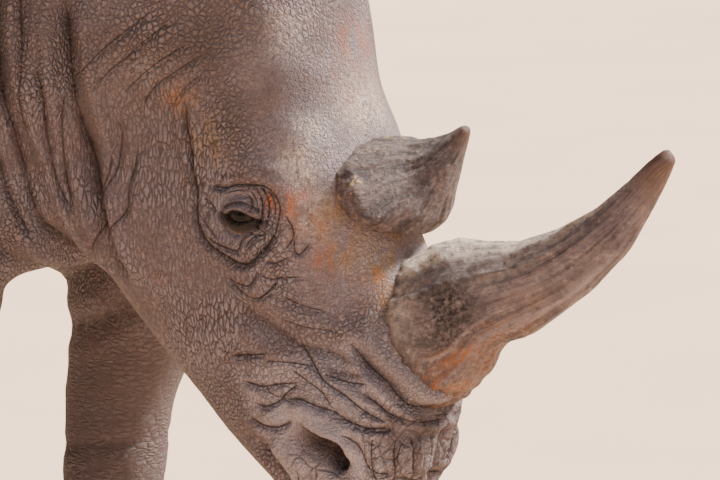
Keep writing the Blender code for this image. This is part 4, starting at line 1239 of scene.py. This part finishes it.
BRISTLE_INPUTS = (("Patch", "Geometry", None), ("Bristles per square metre", "Float", 1000.0),
                  ("Length", "Float", 0.03), ("Thickness", "Float", 0.001), ("Bend", "Float", 0.2),
                  ("Seed", "Int", 1), ("Finish", "Material", None))


def bristle_tree():
    """Bristles that grow from a patch, leaning the way its 'lie' attribute says."""
    tree = bpy.data.node_groups.new("Bristles", "GeometryNodeTree")
    for name, kind, default in BRISTLE_INPUTS:
        socket = tree.interface.new_socket(name=name, in_out="INPUT", socket_type="NodeSocket" + kind)
        if default is not None:
            socket.default_value = default
    tree.interface.new_socket(name="Bristles", in_out="OUTPUT", socket_type="NodeSocketGeometry")
    given = tree.nodes.new("NodeGroupInput").outputs
    roots = add(tree, "GeometryNodeDistributePointsOnFaces",
                {"Mesh": given["Patch"], "Density": given["Bristles per square metre"],
                 "Seed": given["Seed"]})
    place = add(tree, "GeometryNodeInputPosition", {})
    roots = add(tree, "GeometryNodeStoreNamedAttribute", {"Geometry": roots, "Name": "root", "Value": place},
                data_type="FLOAT_VECTOR", domain="POINT")
    half = add(tree, MATH, {0: given["Length"], 1: 0.5}, operation="MULTIPLY")
    sway = add(tree, MATH, {0: given["Length"], 1: given["Bend"]}, operation="MULTIPLY")
    middle = add(tree, "ShaderNodeCombineXYZ", {"X": 0.0, "Z": half})
    end = add(tree, "ShaderNodeCombineXYZ", {"X": sway, "Z": given["Length"]})
    strand = add(tree, "GeometryNodeCurveQuadraticBezier",
                 {"Resolution": 4, "Start": (0, 0, 0), "Middle": middle, "End": end})
    way = add(tree, "GeometryNodeSplineParameter", {})
    slim = add(tree, MATH, {0: way, 1: -0.85, 2: 1.0}, operation="MULTIPLY_ADD")
    slim = add(tree, MATH, {0: slim, 1: given["Thickness"]}, operation="MULTIPLY")
    ring = add(tree, "GeometryNodeCurvePrimitiveCircle", {"Resolution": 3, "Radius": 1.0})
    strand = add(tree, "GeometryNodeSetCurveRadius", {"Curve": strand, "Radius": slim})
    strand = add(tree, "GeometryNodeCurveToMesh",
                 {"Curve": strand, "Profile Curve": ring, "Scale": slim, "Fill Caps": True})
    lie = add(tree, "GeometryNodeInputNamedAttribute", {"Name": "lie"}, data_type="FLOAT_VECTOR")
    jitter = add(tree, "FunctionNodeRandomValue", {0: (-0.30, -0.30, -0.30), 1: (0.30, 0.30, 0.30),
                                                   "Seed": given["Seed"]}, data_type="FLOAT_VECTOR")
    lean = add(tree, "ShaderNodeVectorMath", {0: lie, 1: jitter}, operation="ADD")
    turn = add(tree, "FunctionNodeAlignRotationToVector", {"Vector": lean}, axis="Z")
    spin = add(tree, "FunctionNodeRandomValue", {2: 0.0, 3: 6.283, "Seed": given["Seed"]}, data_type="FLOAT")
    size = add(tree, "FunctionNodeRandomValue", {2: 0.55, 3: 1.0, "Seed": given["Seed"]}, data_type="FLOAT")
    tufts = add(tree, "GeometryNodeInstanceOnPoints",
                {"Points": roots, "Instance": strand, "Rotation": turn, "Scale": size})
    spun = add(tree, "ShaderNodeCombineXYZ", {"Z": spin})
    tufts = add(tree, "GeometryNodeRotateInstances", {"Instances": tufts, "Rotation": spun})
    solid = add(tree, "GeometryNodeRealizeInstances", {"Geometry": tufts})
    solid = add(tree, "GeometryNodeSetMaterial", {"Geometry": solid, "Material": given["Finish"]})
    tree.links.new(solid, tree.nodes.new("NodeGroupOutput").inputs[0])
    return tree


BODY_AXIS = 1.1         # height of the middle line that the map of the hair goes round
HAIR_SPREAD = 0.0015    # how far one bristle reaches on that map


def unwrap(points):
    """A place on the map of the hair: along the body, and round it."""
    low, high = CAD_BOX
    return np.stack([(points[:, 0] - low[0]) / (high[0] - low[0]),
                     np.arctan2(points[:, 1], points[:, 2] - BODY_AXIS) / (2 * math.pi) + 0.5], axis=1)


def grow_bristles(name, patch, lie, per_area, length, thickness, bend, seed):
    """Bristles on a patch of the hide, as one plain mesh with its map for the export."""
    points, faces = patch
    mesh = mesh_of(name + "_patch", points, faces)
    set_attribute(mesh, "lie", *lie.T)
    base = object_of(name + "_patch", mesh)
    grow = base.modifiers.new("Bristles", "NODES")
    grow.node_group = BRISTLES
    values = {"Bristles per square metre": per_area, "Length": length, "Thickness": thickness,
              "Bend": bend, "Seed": seed, "Finish": HAIR_FINISH}
    for item in BRISTLES.interface.items_tree:
        if item.name in values and item.in_out == "INPUT":
            grow[item.identifier] = values[item.name]
    grown = evaluated_mesh(base)
    bpy.data.objects.remove(base)
    grown.shade_smooth()
    roots = values_of(grown.attributes["root"].data, "vector", 3)
    offset = values_of(grown.vertices, "co", 3) - roots
    place = unwrap(roots) + HAIR_SPREAD * offset[:, [0, 2]] / length
    corners = values_of(grown.loops, "vertex_index", 1, int)[:, 0]
    layer = grown.uv_layers.new(name="OFBake")
    layer.data.foreach_set("uv", place[corners].astype(np.float32).ravel())
    dress(object_of(name, grown), HAIR_FINISH, "skin")


def part_of_hide(chosen):
    """The hide's triangles whose corners are all chosen, with their own points."""
    kept = hide_faces[chosen[hide_faces].all(axis=1)]
    used, faces = np.unique(kept, return_inverse=True)
    return hide_points[used], faces.reshape(-1, 3), used


def grow_hair():
    """A fringe on the ears' edges, a brush on the end of the tail and lashes on the upper lids."""
    normals = normals_of(hide_points, hide_faces)
    along, crown, _ = head_frame(hide_points)
    ears = ear_share(hide_points)
    bent = hide_points - smoothed(hide_points, hide_faces, 2)
    sharp = (bent * normals).sum(axis=1)
    limit = np.quantile(sharp[ears > 0.9], 0.80)
    points, faces, used = part_of_hide((ears > 0.9) & (sharp > limit) & (along < -0.45))
    lie = 0.8 * normals[used] - 0.5 * ALONG
    grow_bristles("ear_fringe", (points, faces), lie, per_area=70000, length=0.022,
                  thickness=0.0006, bend=0.25, seed=3)
    tail_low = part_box("tail")[0]
    end = (part_share(hide_points, "tail") > 0.5) & (hide_points[:, 2] < tail_low.z + 0.20)
    points, faces, used = part_of_hide(end)
    lie = 0.35 * normals[used] + np.array([0.0, 0.0, -1.0])
    grow_bristles("tail_brush", (points, faces), lie, per_area=60000, length=0.085,
                  thickness=0.0011, bend=0.15, seed=5)
    run, rise = slit_frame(along, crown)
    lash = (slit > 0.0005) & (slit < 0.0050) & (rise > 0) & (np.abs(run) < 0.8 * SLIT_HALF)
    points, faces, used = part_of_hide(lash)
    lie = normals[used] * 0.9 + 0.5 * ALONG
    grow_bristles("eyelashes", (points, faces), lie, per_area=260000, length=0.011,
                  thickness=0.00035, bend=0.4, seed=7)


hide_mesh, hide_points, hide_faces, slit = make_hide()
dress(object_of("hide", hide_mesh), HIDE_FINISH, "skin", *(FLESH + EARS + ("tail",)))
hide_tree = BVHTree.FromPolygons(hide_points.tolist(), hide_faces.tolist())
finish_front_horn(hide_tree)
finish_rear_horn(hide_tree)
for name in ("eye_left", "eye_right"):
    make_eye(name)
for name, node in NODES.items():
    if name.startswith("nail_"):
        node.data.materials.clear()
        node.data.materials.append(NAIL_FINISH)
BRISTLES = bristle_tree()
grow_hair()

# ---------------------------------------------------------------- floor, light and camera

VIEW_TURN, VIEW_RISE, VIEW_DISTANCE = math.radians(30), math.radians(9), 8.0
FRAME_WIDTH = 1.044     # metres across the view at the target
EYE_FRONT = -0.18       # how far across the body the front of the right eye lies
AIM_RIGHT, AIM_DOWN = 0.1769, 0.0348    # where the view's middle lies from that eye
back = np.array([math.sin(VIEW_TURN) * math.cos(VIEW_RISE), -math.cos(VIEW_TURN) * math.cos(VIEW_RISE),
                 math.sin(VIEW_RISE)])
right = np.array([math.cos(VIEW_TURN), math.sin(VIEW_TURN), 0.0])
up = np.cross(back, right)
eye_front = np.array([HEAD_ORIGIN[0], EYE_FRONT, HEAD_ORIGIN[2]])
target = eye_front + right * AIM_RIGHT - up * AIM_DOWN
camera = object_of("camera", bpy.data.cameras.new("camera"))
camera.data.sensor_width = 36
camera.data.lens = 36 * VIEW_DISTANCE / FRAME_WIDTH
camera.data.clip_end = 200
camera.location = target + back * VIEW_DISTANCE
camera.rotation_mode = "QUATERNION"
camera.rotation_quaternion = Vector(-back).to_track_quat("-Z", "Y")
bpy.context.scene.camera = camera

grid = bmesh.new()
bmesh.ops.create_grid(grid, x_segments=1, y_segments=1, size=60)
floor = object_of("floor", mesh_from(grid, "floor"))
paint, tree = blank_material("warm_pale_plaster")
place = add(tree, "ShaderNodeTexCoord", {}, out=3)
mottle = add(tree, NOISE, {"Vector": place, "Scale": 1.5, "Detail": 3.0})
ground = add(tree, MIX, {0: mottle, 6: linear("dcbc9f"), 7: linear("e8cdb4")}, out=2, data_type="RGBA")
grit = add(tree, MATH, {0: mottle, 1: 0.0005}, operation="MULTIPLY")
finish_surface(tree, ground, 0.9, grit)
floor.data.materials.append(paint)

# Each sun's way from the head, its strength, its spread in radians and its colour. The key stands
# beyond and above the head, and the fill in front of it on the near side.
SUNS = {"key": ((0.50, 0.46, 0.74), 15.5, 0.20, (1.0, 0.93, 0.84)),
        "fill": ((0.66, -0.62, 0.42), 1.15, 0.70, (0.88, 0.94, 1.0))}
for name, (way, strength, spread, light_colour) in SUNS.items():
    sun = bpy.data.lights.new(name, "SUN")
    sun.energy = strength
    sun.angle = spread
    sun.color = light_colour
    lamp = object_of(name, sun)
    lamp.rotation_mode = "QUATERNION"
    lamp.rotation_quaternion = Vector(way).to_track_quat("Z", "Y")
world = bpy.data.worlds.new("studio")
bpy.context.scene.world = world
world.use_nodes = True
sky = world.node_tree.nodes["Background"].inputs
sky["Color"].default_value = (0.89, 0.94, 1.0, 1)
sky["Strength"].default_value = 0.26
